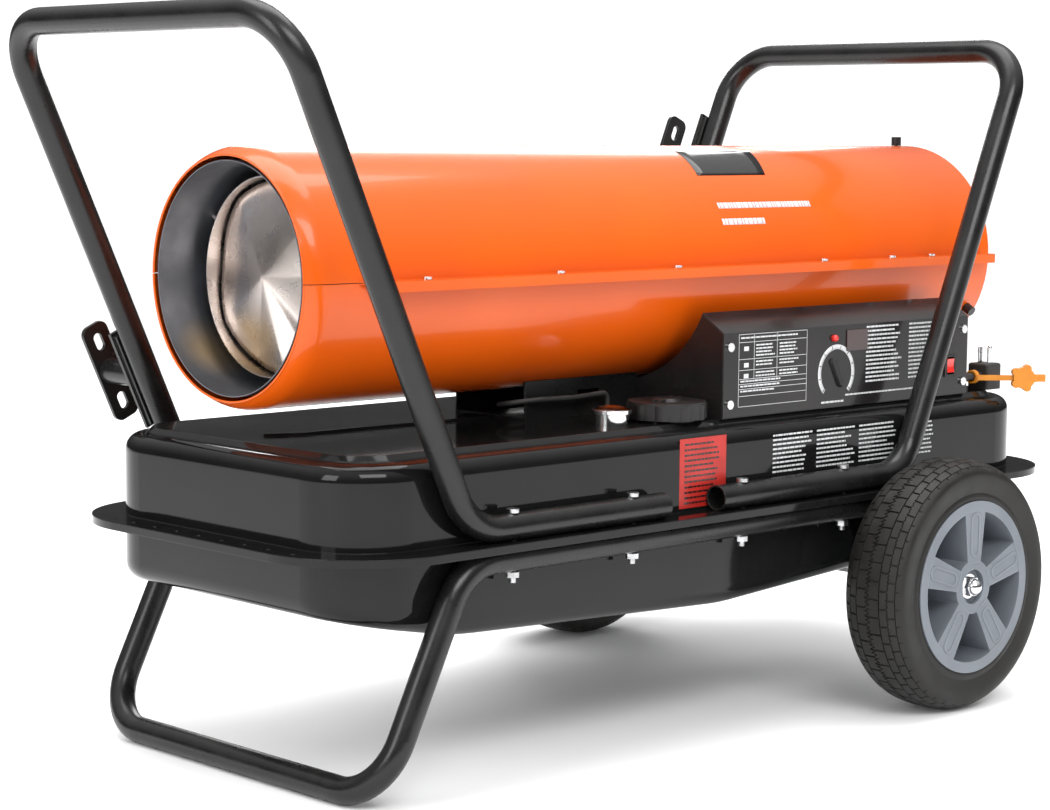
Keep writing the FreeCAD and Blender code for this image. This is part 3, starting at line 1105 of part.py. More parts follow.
def plug_cover():
    """The rubber cover on its strap: a ring on the lead, a flat strap and a star-shaped cap."""
    eye = cut("cover_eye", cylinder("eye_out", "7.5", "6", ("462.5", "exit_y + 1.2", "323.4"), "x"),
              cylinder("eye_in", "cord_r + 1.3", "8", ("461.5", "exit_y + 1.2", "323.4"), "x"))
    root_x, root_y, height = 463.8, size("exit_y") - 6, 323
    strap = Part.makeBox(44, 2.4, 6, Vector(0, -1.2, -3))
    strap.rotate(Vector(), Vector(0, 0, 1), -43)
    strap.translate(Vector(root_x, root_y, height))
    cap = Part.makeCylinder(12, 9, Vector(0, 4.5, 0), Vector(0, -1, 0))
    for number in range(5):
        lobe = Part.makeCylinder(4.5, 9, Vector(11 * math.cos(math.radians(72 * number)), 4.5,
                                                 11 * math.sin(math.radians(72 * number))), Vector(0, -1, 0))
        cap = cap.fuse(lobe)
    tab = Part.makeBox(12, 4, 8, Vector(12, -2, -4))
    cap = cap.fuse(tab)
    cap.rotate(Vector(), Vector(0, 0, 1), -43)
    reach = 52
    cap.translate(Vector(root_x + reach * math.cos(math.radians(43)),
                         root_y - reach * math.sin(math.radians(43)), height))
    return node("plug_cover", fuse("plug_cover_parts", eye, made("cover_strap", strap), made("cover_cap", cap)))


# ---- handles, stand and wheels ---------------------------------------------------------------
def handle_points(toe, corner, bar_x, bar_z):
    """The path of a handle: out along one rail, up a leg, across the bar and back down."""
    rail_z = size("split_z + rim_sheet + tube_r")
    half = size("rail_y")
    near = [Vector(size(toe), -half, rail_z), Vector(size(corner), -half, rail_z), Vector(size(bar_x), -half, size(bar_z))]
    far = [Vector(point.x, -point.y, point.z) for point in reversed(near)]
    return near + far


def drill(shape, holes):
    """Take vertical bolt holes out of a shape."""
    for along, side in bolt_places():
        spot = Vector(size(along), size(f"rail_y * {side}"), shape.BoundBox.ZMin - 5)
        if shape.BoundBox.XMin < spot.x < shape.BoundBox.XMax:
            shape = shape.cut(Part.makeCylinder(size("bolt_hole_r"), holes, spot))
    return shape


def handles():
    for name, toe, corner, bar_x, bar_z in (("front_handle", "front_toe", "front_corner", "front_bar_x", "front_bar_z"),
                                            ("rear_handle", "rear_toe", "rear_corner", "rear_bar_x", "rear_bar_z")):
        bends = [size("tube_bend")] * 4
        bar = tube(handle_points(toe, corner, bar_x, bar_z), bends, size("tube_r"), size("tube_wall"))
        node(name, made(f"{name}_tube", drill(bar, 60)))


def wheel_frame():
    """One tube: ground bar, two stand legs, two rails under the rim and two tails that hold the axle."""
    rail_z = size("split_z - rim_sheet - tube_r")
    half = size("rail_y")
    axle = Vector(size("wheel_x"), -half, size("wheel_r"))
    corner = Vector(size("axle_corner"), -half, rail_z)
    tail = axle + (axle - corner).normalize() * size("axle_tail")
    near = [tail, corner, Vector(size("stand_corner"), -half, rail_z), Vector(size("stand_bar_x"), -half, size("tube_r"))]
    far = [Vector(point.x, -point.y, point.z) for point in reversed(near)]
    bend, back = size("tube_bend"), size("axle_bend")
    bar = drill(tube(near + far, [back, bend, bend, bend, bend, back], size("tube_r"), size("tube_wall")), 300)
    pin = Part.makeCylinder(size("axle_r + running_gap"), 2 * half + 60, Vector(axle.x, -half - 30, axle.z), Vector(0, 1, 0))
    return node("wheel_frame", made("frame_tube", bar.cut(pin)))


def frame_fasteners():
    """Bolts down through handle, rims and frame tube, and their nuts below."""
    top = "split_z + rim_sheet + tube_r * 2"
    bottom = "split_z - rim_sheet - tube_r * 2"
    bolts, nuts = [], []
    for number, (along, side) in enumerate(bolt_places()):
        spot = (along, f"rail_y * {side}")
        head = cylinder(f"bolt_head_{number}", "bolt_head_r", "bolt_head_z", (*spot, top))
        shank = cylinder(f"bolt_shank_{number}", "bolt_r", f"({top}) - ({bottom}) + bolt_tail", (*spot, f"{bottom} - bolt_tail"))
        bolts.append(fuse(f"bolt_{number}", head, shank))
        hex_nut = hexagon(f"nut_hex_{number}", "nut_r", "nut_height", (*spot, f"{bottom} - nut_height"))
        bore = cylinder(f"nut_bore_{number}", "bolt_r", "nut_height + 2", (*spot, f"{bottom} - nut_height - 1"))
        nuts.append(cut(f"nut_{number}", hex_nut, bore))
    node("frame_bolts", group("bolts", *bolts))
    return node("frame_nuts", group("nuts", *nuts))


def axle_parts():
    """The axle rod through both frame tails, with a washer and a domed cap nut at each end."""
    face = "tyre_inner_y + tyre_width - rim_inset"
    seat = f"{face} - boss_inset + end_gap"
    half = f"{seat} + cap_washer + cap_nut_flat"
    rod = cylinder("axle_rod", "axle_r", f"2 * ({half})", ("wheel_x", f"0 - ({half})", "wheel_r"), "y")
    node("axle", rod)
    nuts, washers = [], []
    for side, turn in zip(SIDES, ("-y", "y")):
        washer = cut(f"axle_washer_{side}", cylinder(f"washer_{side}", "cap_washer_r", "cap_washer",
                                                     ("wheel_x", f"{side} * ({seat})", "wheel_r"), turn),
                     cylinder(f"washer_bore_{side}", "axle_r", "10", ("wheel_x", f"{side} * ({seat} - 4)", "wheel_r"), turn))
        washers.append(washer)
        start = f"{side} * ({seat} + cap_washer)"
        flat = hexagon(f"cap_nut_{side}", "cap_nut_r", "cap_nut_flat - 1.5", ("wheel_x", start, "wheel_r"), turn)
        dome = ball(f"cap_nut_dome_{side}", "cap_nut_r - 2", ("wheel_x", f"{side} * ({seat} + cap_washer + cap_nut_flat - 2)", "wheel_r"))
        bore = cylinder(f"cap_nut_bore_{side}", "axle_r", "cap_nut_flat", ("wheel_x", start, "wheel_r"), turn)
        nuts.append(cut(f"cap_nut_cut_{side}", fuse(f"cap_nut_body_{side}", flat, dome), bore, cylinder(
            f"cap_nut_face_{side}", "30", "20", ("wheel_x", f"{side} * ({seat} + cap_washer - 20)", "wheel_r"), turn)))
    return node("axle_nuts", group("axle_hardware", *washers, *nuts))


def wheel(side, word):
    """A wheel on one side: moulded hub with rim, web, boss and five spokes, and its tyre."""
    turn = "y" if side > 0 else "-y"
    outer = "tyre_inner_y + tyre_width"

    def disc(name, radius, low, high):
        return cylinder(f"{name}_{word}", radius, f"({high}) - ({low})", ("wheel_x", f"{side} * ({low})", "wheel_r"), turn)
    face = f"{outer} - rim_inset"
    rim_ring = cut(f"rim_{word}", disc("rim_out", "rim_r", "tyre_inner_y + 5", face),
                   disc("rim_in", "rim_r - rim_wall", "tyre_inner_y + 4", f"{face} + 1"))
    web = disc("web", "rim_r - 1", f"{face} - web_depth - web_wall", f"{face} - web_depth")
    boss = disc("boss", "boss_r", "rail_y + tube_r + boss_gap", f"{face} - boss_dish")
    seat = disc("nut_seat", "seat_r", f"{face} - boss_inset", f"{face} + 1")
    spokes = []
    for number in range(SPOKES):
        corners = (("boss_r - 3", "0 - spoke_hub_half"), ("rim_r - rim_wall + 2", "0 - spoke_rim_half"),
                   ("rim_r - rim_wall + 2", "spoke_rim_half"), ("boss_r - 3", "spoke_hub_half"))
        angle = 360 / SPOKES * number + 18
        spin = TURNS[turn].multiply(Rotation(Vector(0, 0, 1), angle))
        spokes.append(prism(f"spoke_{word}_{number}", "XY_Plane", corners, "web_depth - spoke_inset + 1",
                            ("wheel_x", f"{side} * ({face} - web_depth - 1)", "wheel_r"), spin))
    bore = disc("hub_bore", "axle_r + running_gap", "rail_y", f"{outer} + 20")
    node(f"hub_{word}", cut(f"hub_{word}_cut", fuse(f"hub_{word}_parts", rim_ring, web, boss, *spokes), bore, seat))
    tread = rounded(f"tread_{word}", disc("tread", "wheel_r", "tyre_inner_y", outer), "tyre_shoulder",
                    lambda edge: edge.BoundBox.XLength > size("wheel_r"))
    node(f"tyre_{word}", cut(f"tyre_{word}_cut", tread, disc("bead_bore", "rim_r", "tyre_inner_y - 1", f"{outer} + 1")))


def cord_wraps():
    """Two brackets on the far handle legs that an extension cord is wound on."""
    brackets = []
    for word, corner, bar_x, bar_z, height in (("front", "front_corner", "front_bar_x", "front_bar_z", "front_wrap_z"),
                                               ("rear", "rear_corner", "rear_bar_x", "rear_bar_z", "rear_wrap_z")):
        rail_z = size("split_z + rim_sheet + tube_r")
        run, rise = size(bar_x) - size(corner), size(bar_z) - rail_z
        lean = math.degrees(math.atan2(run, rise))
        middle = Vector(size(corner) + run * (size(height) - rail_z) / rise, size("rail_y"), size(height))
        length, width, thick = size("wrap_length"), size("wrap_width"), size("wrap_plate")
        reach = size("wrap_reach")
        inner_y = size("tube_r")
        plate = Part.makeBox(width, thick, length, Vector(-width / 2, inner_y + 0.4, -length / 2))
        outer = Part.makeBox(width, thick, length, Vector(-width / 2, reach, -length / 2))
        corners = [edge for edge in outer.Edges if edge.BoundBox.YLength > thick / 2]
        outer = outer.makeFillet(9, corners)
        for end in SIDES:
            slot_z = end * (length / 2 - 19)
            slot = Part.makeBox(10, 20, 8, Vector(-5, reach - 8, slot_z - 4))
            for tip in SIDES:
                slot = slot.fuse(Part.makeCylinder(5, 20, Vector(0, reach - 8, slot_z + tip * 4), Vector(0, 1, 0)))
            outer = outer.cut(slot)
        stub = Part.makeCylinder(size("wrap_stub_r"), reach - inner_y - thick, Vector(0, inner_y + thick, 0), Vector(0, 1, 0))
        saddle = Part.makeBox(width - 4, 6, length - 6, Vector(-width / 2 + 2, inner_y - 5, -length / 2 + 3))
        saddle = saddle.cut(Part.makeCylinder(size("tube_r + fit_gap"), length, Vector(0, 0, -length / 2)))
        bracket_shape = plate.fuse([outer, stub, saddle])
        bracket_shape.rotate(Vector(), Vector(0, 1, 0), lean)
        bracket_shape.translate(middle)
        brackets.append(made(f"cord_wrap_{word}", bracket_shape))
    return node("cord_wraps", group("wraps", *brackets))


tank_upper()
tank_lower()
drain_plug()
filler_neck()
fuel_cap()
fuel_gauge()
fuel_pickup()
upper_shell()
lower_shell()
combustion_chamber()
outlet()
burner()
motor_and_fan()
fan_guard()
guard_knobs()
hoses()
barrel_support()
control_box()
control_cover()
controls()
cover_screws()
cord_and_plug()
handles()
wheel_frame()
frame_fasteners()
axle_parts()
wheel(-1, "right")
wheel(1, "left")
cord_wraps()
doc.recompute()

for thing in doc.Objects:
    if {"Invalid", "Error"} & set(thing.State):
        raise RuntimeError(f"{thing.Name} failed: {thing.State}")
for thing in NODES:
    if thing.Shape.isNull() or not thing.Shape.isValid() or not thing.Shape.Solids:
        raise RuntimeError(f"{thing.Label} has no valid solid")
os.makedirs("parts", exist_ok=True)
for thing in NODES:
    thing.Shape.exportStep(f"parts/{thing.Label}.step")
print(len(NODES), "nodes")
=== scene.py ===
# %% [markdown]
# # A forced-air kerosene heater
# The imported CAD model is the frame of this scene.

# %% Load the frame
import bmesh
import bpy
import json
import math
import random
from mathutils import Matrix, Vector


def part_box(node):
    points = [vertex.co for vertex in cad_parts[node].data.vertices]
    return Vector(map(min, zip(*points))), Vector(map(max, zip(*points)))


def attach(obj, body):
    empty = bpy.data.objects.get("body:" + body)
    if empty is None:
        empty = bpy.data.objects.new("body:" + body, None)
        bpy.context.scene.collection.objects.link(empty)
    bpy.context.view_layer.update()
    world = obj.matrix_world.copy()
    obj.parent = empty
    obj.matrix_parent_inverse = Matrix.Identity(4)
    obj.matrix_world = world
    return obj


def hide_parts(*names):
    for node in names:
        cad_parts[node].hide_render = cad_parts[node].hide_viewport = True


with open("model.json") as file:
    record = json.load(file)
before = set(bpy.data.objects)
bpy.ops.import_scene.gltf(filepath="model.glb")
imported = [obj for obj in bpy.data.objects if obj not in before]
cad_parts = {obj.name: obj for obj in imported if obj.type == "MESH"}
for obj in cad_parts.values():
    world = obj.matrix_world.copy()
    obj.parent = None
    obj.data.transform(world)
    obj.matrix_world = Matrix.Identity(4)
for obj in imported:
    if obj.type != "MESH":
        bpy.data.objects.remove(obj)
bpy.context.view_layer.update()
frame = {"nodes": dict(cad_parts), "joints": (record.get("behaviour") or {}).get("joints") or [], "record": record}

# %% [markdown]
# ## Camera
# The camera stands low in front of the outlet and looks along the control side, with a long lens.
# Its place and direction are plain numbers in metres, because the whole scene is in metres.

# %% Camera
camera_data = bpy.data.cameras.new("camera")
camera_data.sensor_width = 36
camera_data.lens = 87.39
camera = bpy.data.objects.new("camera", camera_data)
bpy.context.collection.objects.link(camera)
camera.location = (-1.8469, -1.8538, 0.5935)
looking = Vector((0.6864, 0.7192, -0.1075)).normalized()
turn = looking.to_track_quat("-Z", "Y").to_matrix() @ Matrix.Rotation(math.radians(0.44), 3, "Z")
camera.rotation_euler = turn.to_euler()
bpy.context.scene.camera = camera
print("camera", round(camera.location.length, 2), "m from the origin")

# %% [markdown]
# ## Floor and light
# The floor is a wide, plain, pale sheet, so no horizon shows. Large soft lights give long, calm reflections
# in the enamel. The world lights the floor evenly and is plain white behind it, but in reflections it is dark
# near the horizon and bright overhead, which gives paint and bare metal their contrast.

# %% Floor
def link(name, data):
    """Puts a new object with this data into the scene."""
    thing = bpy.data.objects.new(name, data)
    bpy.context.collection.objects.link(thing)
    return thing


def mesh_from(name, points, faces, smooth=True):
    """Makes an object from points and faces, with its normals outwards."""
    data = bpy.data.meshes.new(name)
    data.from_pydata([tuple(point) for point in points], [], faces)
    data.validate()
    work = bmesh.new()
    work.from_mesh(data)
    bmesh.ops.recalc_face_normals(work, faces=work.faces)
    work.to_mesh(data)
    work.free()
    data.polygons.foreach_set("use_smooth", [smooth] * len(data.polygons))
    return link(name, data)


def tree_of(material):
    """The nodes of a material and its Principled shader."""
    material.use_nodes = True
    return material.node_tree, material.node_tree.nodes["Principled BSDF"]


def add(tree, kind, links=None, **values):
    """Adds a node, sets its properties or unlinked sockets by name, and joins the given sockets to it."""
    node = tree.nodes.new(kind)
    for label, value in values.items():
        setattr(node, label, value)
    for label, source in (links or {}).items():
        if isinstance(source, bpy.types.NodeSocket):
            tree.links.new(source, node.inputs[label])
        else:
            node.inputs[label].default_value = source
    return node


FLOOR_HALF = 14
floor = mesh_from("floor", [(-FLOOR_HALF, -FLOOR_HALF, 0), (FLOOR_HALF, -FLOOR_HALF, 0),
                            (FLOOR_HALF, FLOOR_HALF, 0), (-FLOOR_HALF, FLOOR_HALF, 0)], [(0, 1, 2, 3)])
paper = bpy.data.materials.new("paper")
paper_shader = tree_of(paper)[1]
paper_shader.inputs["Base Color"].default_value = (0.93, 0.93, 0.93, 1)
paper_shader.inputs["Roughness"].default_value = 0.75
floor.data.materials.append(paper)
print("floor", 2 * FLOOR_HALF, "m wide")

# %% Lights
def soft_light(name, place, target, width, height, power):
    """A large area light that faces the target."""
    data = bpy.data.lights.new(name, "AREA")
    data.shape = "RECTANGLE"
    data.size = width
    data.size_y = height
    data.energy = power
    light = link(name, data)
    light.location = place
    light.rotation_euler = (Vector(target) - Vector(place)).to_track_quat("-Z", "Y").to_euler()
    return light


MIDDLE = (0, 0, 0.4)
soft_light("key_light", (-1.2, -2.6, 2.6), MIDDLE, 2.2, 1.2, 64)
soft_light("front_light", (-3.2, -0.2, 1.5), MIDDLE, 1.2, 1.6, 34)
soft_light("top_light", (0.2, 0.3, 3.2), MIDDLE, 3.0, 2.0, 74)
soft_light("far_light", (2.2, 2.4, 1.8), MIDDLE, 1.8, 1.2, 40)

# %% World and view
world = bpy.data.worlds.new("studio")
bpy.context.scene.world = world
world.use_nodes = True
sky = world.node_tree
even = sky.nodes["Background"]
even.inputs["Color"].default_value = (1, 1, 1, 1)
even.inputs["Strength"].default_value = 1.2
height = add(sky, "ShaderNodeSeparateXYZ", {"Vector": add(sky, "ShaderNodeTexCoord").outputs["Generated"]})
shade = add(sky, "ShaderNodeMapRange", {"Value": height.outputs["Z"], "From Min": 0.1, "From Max": 0.9,
                                        "To Min": 0.06, "To Max": 1.0}, interpolation_type="SMOOTHSTEP")
mirrored = add(sky, "ShaderNodeBackground", {"Color": shade.outputs["Result"], "Strength": 1.0})
chosen = add(sky, "ShaderNodeMixShader", {0: add(sky, "ShaderNodeLightPath").outputs["Is Glossy Ray"],
                                          1: even.outputs["Background"], 2: mirrored.outputs["Background"]})
sky.links.new(chosen.outputs["Shader"], sky.nodes["World Output"].inputs["Surface"])
bpy.context.scene.view_settings.view_transform = "Standard"

# %% [markdown]
# ## The short power lead
# The whole lead shows: it leaves its bushing in the rear wall of the control box and goes straight into the
# angled plug that stands on the tank. Both ends hold it, so it is no free cord. A smooth NURBS line follows
# its points, a bevel gives it its round section, and the result is kept as a closed mesh, so that its box is
# its true size.

# %% Power lead
CORD_DIAMETER = 0.008
CORD_POINTS = [(0.451, -0.154, 0.324), (0.457, -0.154, 0.324), (0.4635, -0.153, 0.3235),
               (0.4695, -0.1516, 0.323), (0.4755, -0.1516, 0.323)]


def smooth_line(name, points, radius, order=3):
    """A closed round tube, as a mesh, along a smooth NURBS line through space."""
    curve = bpy.data.curves.new(name, "CURVE")
    curve.use_fill_caps = True
    curve.dimensions = "3D"
    curve.bevel_depth = radius
    curve.bevel_resolution = 6
    curve.resolution_u = 12
    spline = curve.splines.new("NURBS")
    spline.points.add(len(points) - 1)
    for point, place in zip(spline.points, points):
        point.co = (*place, 1)
    spline.order_u = order
    spline.use_endpoint_u = True
    tube = bpy.data.meshes.new_from_object(bpy.data.objects.new(f"{name}_line", curve))
    tube.polygons.foreach_set("use_smooth", [True] * len(tube.polygons))
    return link(name, tube)


lead = smooth_line("power_lead", CORD_POINTS, CORD_DIAMETER / 2)
lead_length = sum((Vector(b) - Vector(a)).length for a, b in zip(CORD_POINTS, CORD_POINTS[1:]))
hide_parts("power_cord")
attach(lead, "frame")
print("lead", round(lead_length * 1000, 1), "mm")

# %% [markdown]
# ## Shared effects
# Most finishes need the same three things: edges that catch the light, colour and gloss that are never quite
# even, and dust that settles on what faces upwards. Each is a node group with named inputs and outputs, built
# once.

# %% Node group helper
def new_group(name, inputs, outputs):
    """A shader node group with its sockets, and its input and output nodes."""
    group = bpy.data.node_groups.new(name, "ShaderNodeTree")
    for label, kind, value in inputs:
        socket = group.interface.new_socket(label, in_out="INPUT", socket_type=kind)
        socket.default_value = value
    for label, kind in outputs:
        group.interface.new_socket(label, in_out="OUTPUT", socket_type=kind)
    return group, group.nodes.new("NodeGroupInput"), group.nodes.new("NodeGroupOutput")


FLOAT = "NodeSocketFloat"
COLOR = "NodeSocketColor"
VECTOR = "NodeSocketVector"
print("helpers ready")

# %% Soft edges group
edges, edges_in, edges_out = new_group(
    "soft_edges", [("Radius", FLOAT, 0.001), ("Grain Scale", FLOAT, 400), ("Grain Height", FLOAT, 0.1)],
    [("Normal", VECTOR), ("Edge", FLOAT)])
rounding = add(edges, "ShaderNodeBevel", {"Radius": edges_in.outputs["Radius"]}, samples=4)
place = add(edges, "ShaderNodeTexCoord")
grain = add(edges, "ShaderNodeTexNoise", {"Vector": place.outputs["Object"],
                                          "Scale": edges_in.outputs["Grain Scale"], "Detail": 3})
grain_bump = add(edges, "ShaderNodeBump",
                 {"Height": grain.outputs["Fac"], "Normal": rounding.outputs["Normal"],
                  "Strength": edges_in.outputs["Grain Height"], "Distance": 0.001})
surface = add(edges, "ShaderNodeNewGeometry")
alike = add(edges, "ShaderNodeVectorMath", {0: rounding.outputs["Normal"], 1: surface.outputs["Normal"]},
            operation="DOT_PRODUCT")
edge_mask = add(edges, "ShaderNodeMapRange", {"Value": alike.outputs["Value"], "From Min": 0.995,
                                              "From Max": 0.9, "To Min": 0, "To Max": 1})
edges.links.new(grain_bump.outputs["Normal"], edges_out.inputs["Normal"])
edges.links.new(edge_mask.outputs["Result"], edges_out.inputs["Edge"])
print("group", edges.name)

# %% Uneven finish group
uneven, uneven_in, uneven_out = new_group(
    "uneven_finish",
    [("Color", COLOR, (0.5, 0.5, 0.5, 1)), ("Second Color", COLOR, (0.4, 0.4, 0.4, 1)), ("Scale", FLOAT, 12),
     ("Roughness", FLOAT, 0.4), ("Roughness Range", FLOAT, 0.1)],
    [("Color", COLOR), ("Roughness", FLOAT)])
place = add(uneven, "ShaderNodeTexCoord")
clouds = add(uneven, "ShaderNodeTexNoise", {"Vector": place.outputs["Object"],
                                            "Scale": uneven_in.outputs["Scale"], "Detail": 5})
spread = add(uneven, "ShaderNodeMapRange",
             {"Value": clouds.outputs["Fac"], "From Min": 0.35, "From Max": 0.65})
blend_colors = add(uneven, "ShaderNodeMix", data_type="RGBA")
uneven.links.new(spread.outputs["Result"], blend_colors.inputs["Factor"])
uneven.links.new(uneven_in.outputs["Color"], blend_colors.inputs["A"])
uneven.links.new(uneven_in.outputs["Second Color"], blend_colors.inputs["B"])
rougher = add(uneven, "ShaderNodeMath", {0: spread.outputs["Result"], 1: uneven_in.outputs["Roughness Range"],
                                         2: uneven_in.outputs["Roughness"]}, operation="MULTIPLY_ADD")
uneven.links.new(blend_colors.outputs["Result"], uneven_out.inputs["Color"])
uneven.links.new(rougher.outputs["Value"], uneven_out.inputs["Roughness"])
print("group", uneven.name)

# %% Settled dust group
dust, dust_in, dust_out = new_group(
    "settled_dust",
    [("Color", COLOR, (0.5, 0.5, 0.5, 1)), ("Roughness", FLOAT, 0.4), ("Amount", FLOAT, 0.1)],
    [("Color", COLOR), ("Roughness", FLOAT)])
facing = add(dust, "ShaderNodeSeparateXYZ", {"Vector": add(dust, "ShaderNodeNewGeometry").outputs["Normal"]})
upward = add(dust, "ShaderNodeMapRange", {"Value": facing.outputs["Z"], "From Min": 0.3, "From Max": 1})
place = add(dust, "ShaderNodeTexCoord")
specks = add(dust, "ShaderNodeTexNoise", {"Vector": place.outputs["Object"], "Scale": 60, "Detail": 8})
patchy = add(dust, "ShaderNodeMapRange", {"Value": specks.outputs["Fac"], "From Min": 0.4, "From Max": 0.75})
where = add(dust, "ShaderNodeMath", {0: upward.outputs["Result"], 1: patchy.outputs["Result"]},
            operation="MULTIPLY")
dose = add(dust, "ShaderNodeMath", {0: where.outputs["Value"], 1: dust_in.outputs["Amount"]},
           operation="MULTIPLY", use_clamp=True)
dusted = add(dust, "ShaderNodeMix", data_type="RGBA")
dust.links.new(dose.outputs["Value"], dusted.inputs["Factor"])
dust.links.new(dust_in.outputs["Color"], dusted.inputs["A"])
dusted.inputs["B"].default_value = (0.42, 0.40, 0.37, 1)
dulled = add(dust, "ShaderNodeMath", {0: dose.outputs["Value"], 1: 0.5, 2: dust_in.outputs["Roughness"]},
             operation="MULTIPLY_ADD", use_clamp=True)
dust.links.new(dusted.outputs["Result"], dust_out.inputs["Color"])
dust.links.new(dulled.outputs["Value"], dust_out.inputs["Roughness"])
print("group", dust.name)

# %% [markdown]
# ## Painted, moulded and plated finishes
# These finishes differ only in their values, so one function lays the three groups behind a Principled
# shader. Enamel has a clear coat and a faint orange-peel grain. The powder coat of the tubes has a deeper
# grain and no coat. Plated metal is fully metallic, and the worn edge of a painted tube shows a lighter,
# rubbed colour.

# %% Finish helper
finishes = {}


def finish(name, color, second, roughness, spread=0.1, scale=12, metallic=0.0, coat=0.0, coat_roughness=0.03,
           radius=0.0008, grain_scale=600, grain_height=0.08, rubbed=None, dust_amount=0.05, specular=0.5):
    """A material of this name with soft edges, an uneven finish and a little settled dust."""
    material = bpy.data.materials.new(name)
    tree, shader = tree_of(material)
    base = add(tree, "ShaderNodeGroup", node_tree=uneven)
    for label, value in (("Color", (*color, 1)), ("Second Color", (*second, 1)), ("Scale", scale),
                         ("Roughness", roughness), ("Roughness Range", spread)):
        base.inputs[label].default_value = value
    rounded_edges = add(tree, "ShaderNodeGroup", {}, node_tree=edges)
    for label, value in (("Radius", radius), ("Grain Scale", grain_scale), ("Grain Height", grain_height)):
        rounded_edges.inputs[label].default_value = value
    colour_out = base.outputs["Color"]
    if rubbed:
        worn = add(tree, "ShaderNodeMix", data_type="RGBA")
        tree.links.new(rounded_edges.outputs["Edge"], worn.inputs["Factor"])
        tree.links.new(colour_out, worn.inputs["A"])
        worn.inputs["B"].default_value = (*rubbed, 1)
        colour_out = worn.outputs["Result"]
    settled = add(tree, "ShaderNodeGroup", {}, node_tree=dust)
    tree.links.new(colour_out, settled.inputs["Color"])
    tree.links.new(base.outputs["Roughness"], settled.inputs["Roughness"])
    settled.inputs["Amount"].default_value = dust_amount
    tree.links.new(settled.outputs["Color"], shader.inputs["Base Color"])
    tree.links.new(settled.outputs["Roughness"], shader.inputs["Roughness"])
    tree.links.new(rounded_edges.outputs["Normal"], shader.inputs["Normal"])
    shader.inputs["Metallic"].default_value = metallic
    shader.inputs["Coat Weight"].default_value = coat
    shader.inputs["Coat Roughness"].default_value = coat_roughness
    shader.inputs["Specular IOR Level"].default_value = specular
    finishes[name] = material
    return material


finish("tank_black", (0.005, 0.005, 0.005), (0.008, 0.008, 0.008), 0.07, 0.03, 6, coat=0.1, grain_scale=220,
       grain_height=0.012, radius=0.0015, dust_amount=0.01, specular=0.2)
finish("shell_orange", (0.66, 0.095, 0.003), (0.61, 0.083, 0.003), 0.22, 0.05, 5, coat=0.25, grain_scale=180,
       grain_height=0.012, radius=0.0010, dust_amount=0.0, specular=0.3)
finish("tube_black", (0.006, 0.006, 0.006), (0.010, 0.010, 0.010), 0.24, 0.08, 25, grain_scale=900,
       grain_height=0.07, rubbed=(0.03, 0.03, 0.03), dust_amount=0.02, specular=0.4)
finish("box_black", (0.011, 0.010, 0.010), (0.017, 0.015, 0.015), 0.15, 0.05, 14, coat=0.15,
       coat_roughness=0.06, grain_scale=700, grain_height=0.05, rubbed=(0.05, 0.05, 0.05), dust_amount=0.01,
       specular=0.3)
finish("zinc", (0.62, 0.63, 0.65), (0.50, 0.50, 0.50), 0.24, 0.14, 90, metallic=1.0, grain_height=0.05)
finish("chrome", (0.83, 0.83, 0.84), (0.74, 0.74, 0.75), 0.07, 0.07, 60, metallic=1.0, grain_height=0.02)
finish("brass", (0.72, 0.50, 0.22), (0.58, 0.38, 0.16), 0.26, 0.16, 70, metallic=1.0)
finish("aluminium", (0.60, 0.61, 0.62), (0.48, 0.49, 0.50), 0.42, 0.14, 50, metallic=1.0, grain_height=0.2)
finish("black_plastic", (0.014, 0.013, 0.013), (0.021, 0.020, 0.020), 0.30, 0.12, 30, grain_scale=1100,
       grain_height=0.12, rubbed=(0.03, 0.03, 0.03), dust_amount=0.02, specular=0.35)
finish("black_rubber", (0.020, 0.020, 0.020), (0.030, 0.029, 0.028), 0.55, 0.12, 40, grain_height=0.2,
       dust_amount=0.15)
finish("orange_rubber", (0.66, 0.235, 0.012), (0.60, 0.20, 0.010), 0.48, 0.12, 40, grain_height=0.15,
       radius=0.0012, dust_amount=0.05)
finish("hub_grey", (0.155, 0.172, 0.197), (0.132, 0.148, 0.172), 0.46, 0.12, 18, grain_scale=1200,
       grain_height=0.2, radius=0.0016, rubbed=(0.26, 0.28, 0.31), dust_amount=0.04)
finish("carbon", (0.05, 0.05, 0.05), (0.08, 0.08, 0.08), 0.5, 0.1, 50)
finish("ceramic_white", (0.85, 0.84, 0.80), (0.78, 0.77, 0.72), 0.15, 0.1, 40, coat=0.5)
finish("board_green", (0.03, 0.20, 0.08), (0.02, 0.15, 0.06), 0.4, 0.1, 60, coat=0.3)
finish("smoked", (0.035, 0.006, 0.006), (0.022, 0.005, 0.005), 0.06, 0.03, 20, coat=0.8, dust_amount=0.0)
finish("needle_red", (0.70, 0.04, 0.03), (0.60, 0.03, 0.02), 0.35, 0.1, 80)
finish("float_black", (0.04, 0.04, 0.04), (0.06, 0.06, 0.06), 0.7, 0.15, 80, grain_height=0.5)
finish("red_plastic", (0.72, 0.022, 0.015), (0.62, 0.018, 0.012), 0.18, 0.06, 40, coat=0.6, dust_amount=0.02)
print(len(finishes), "finishes")
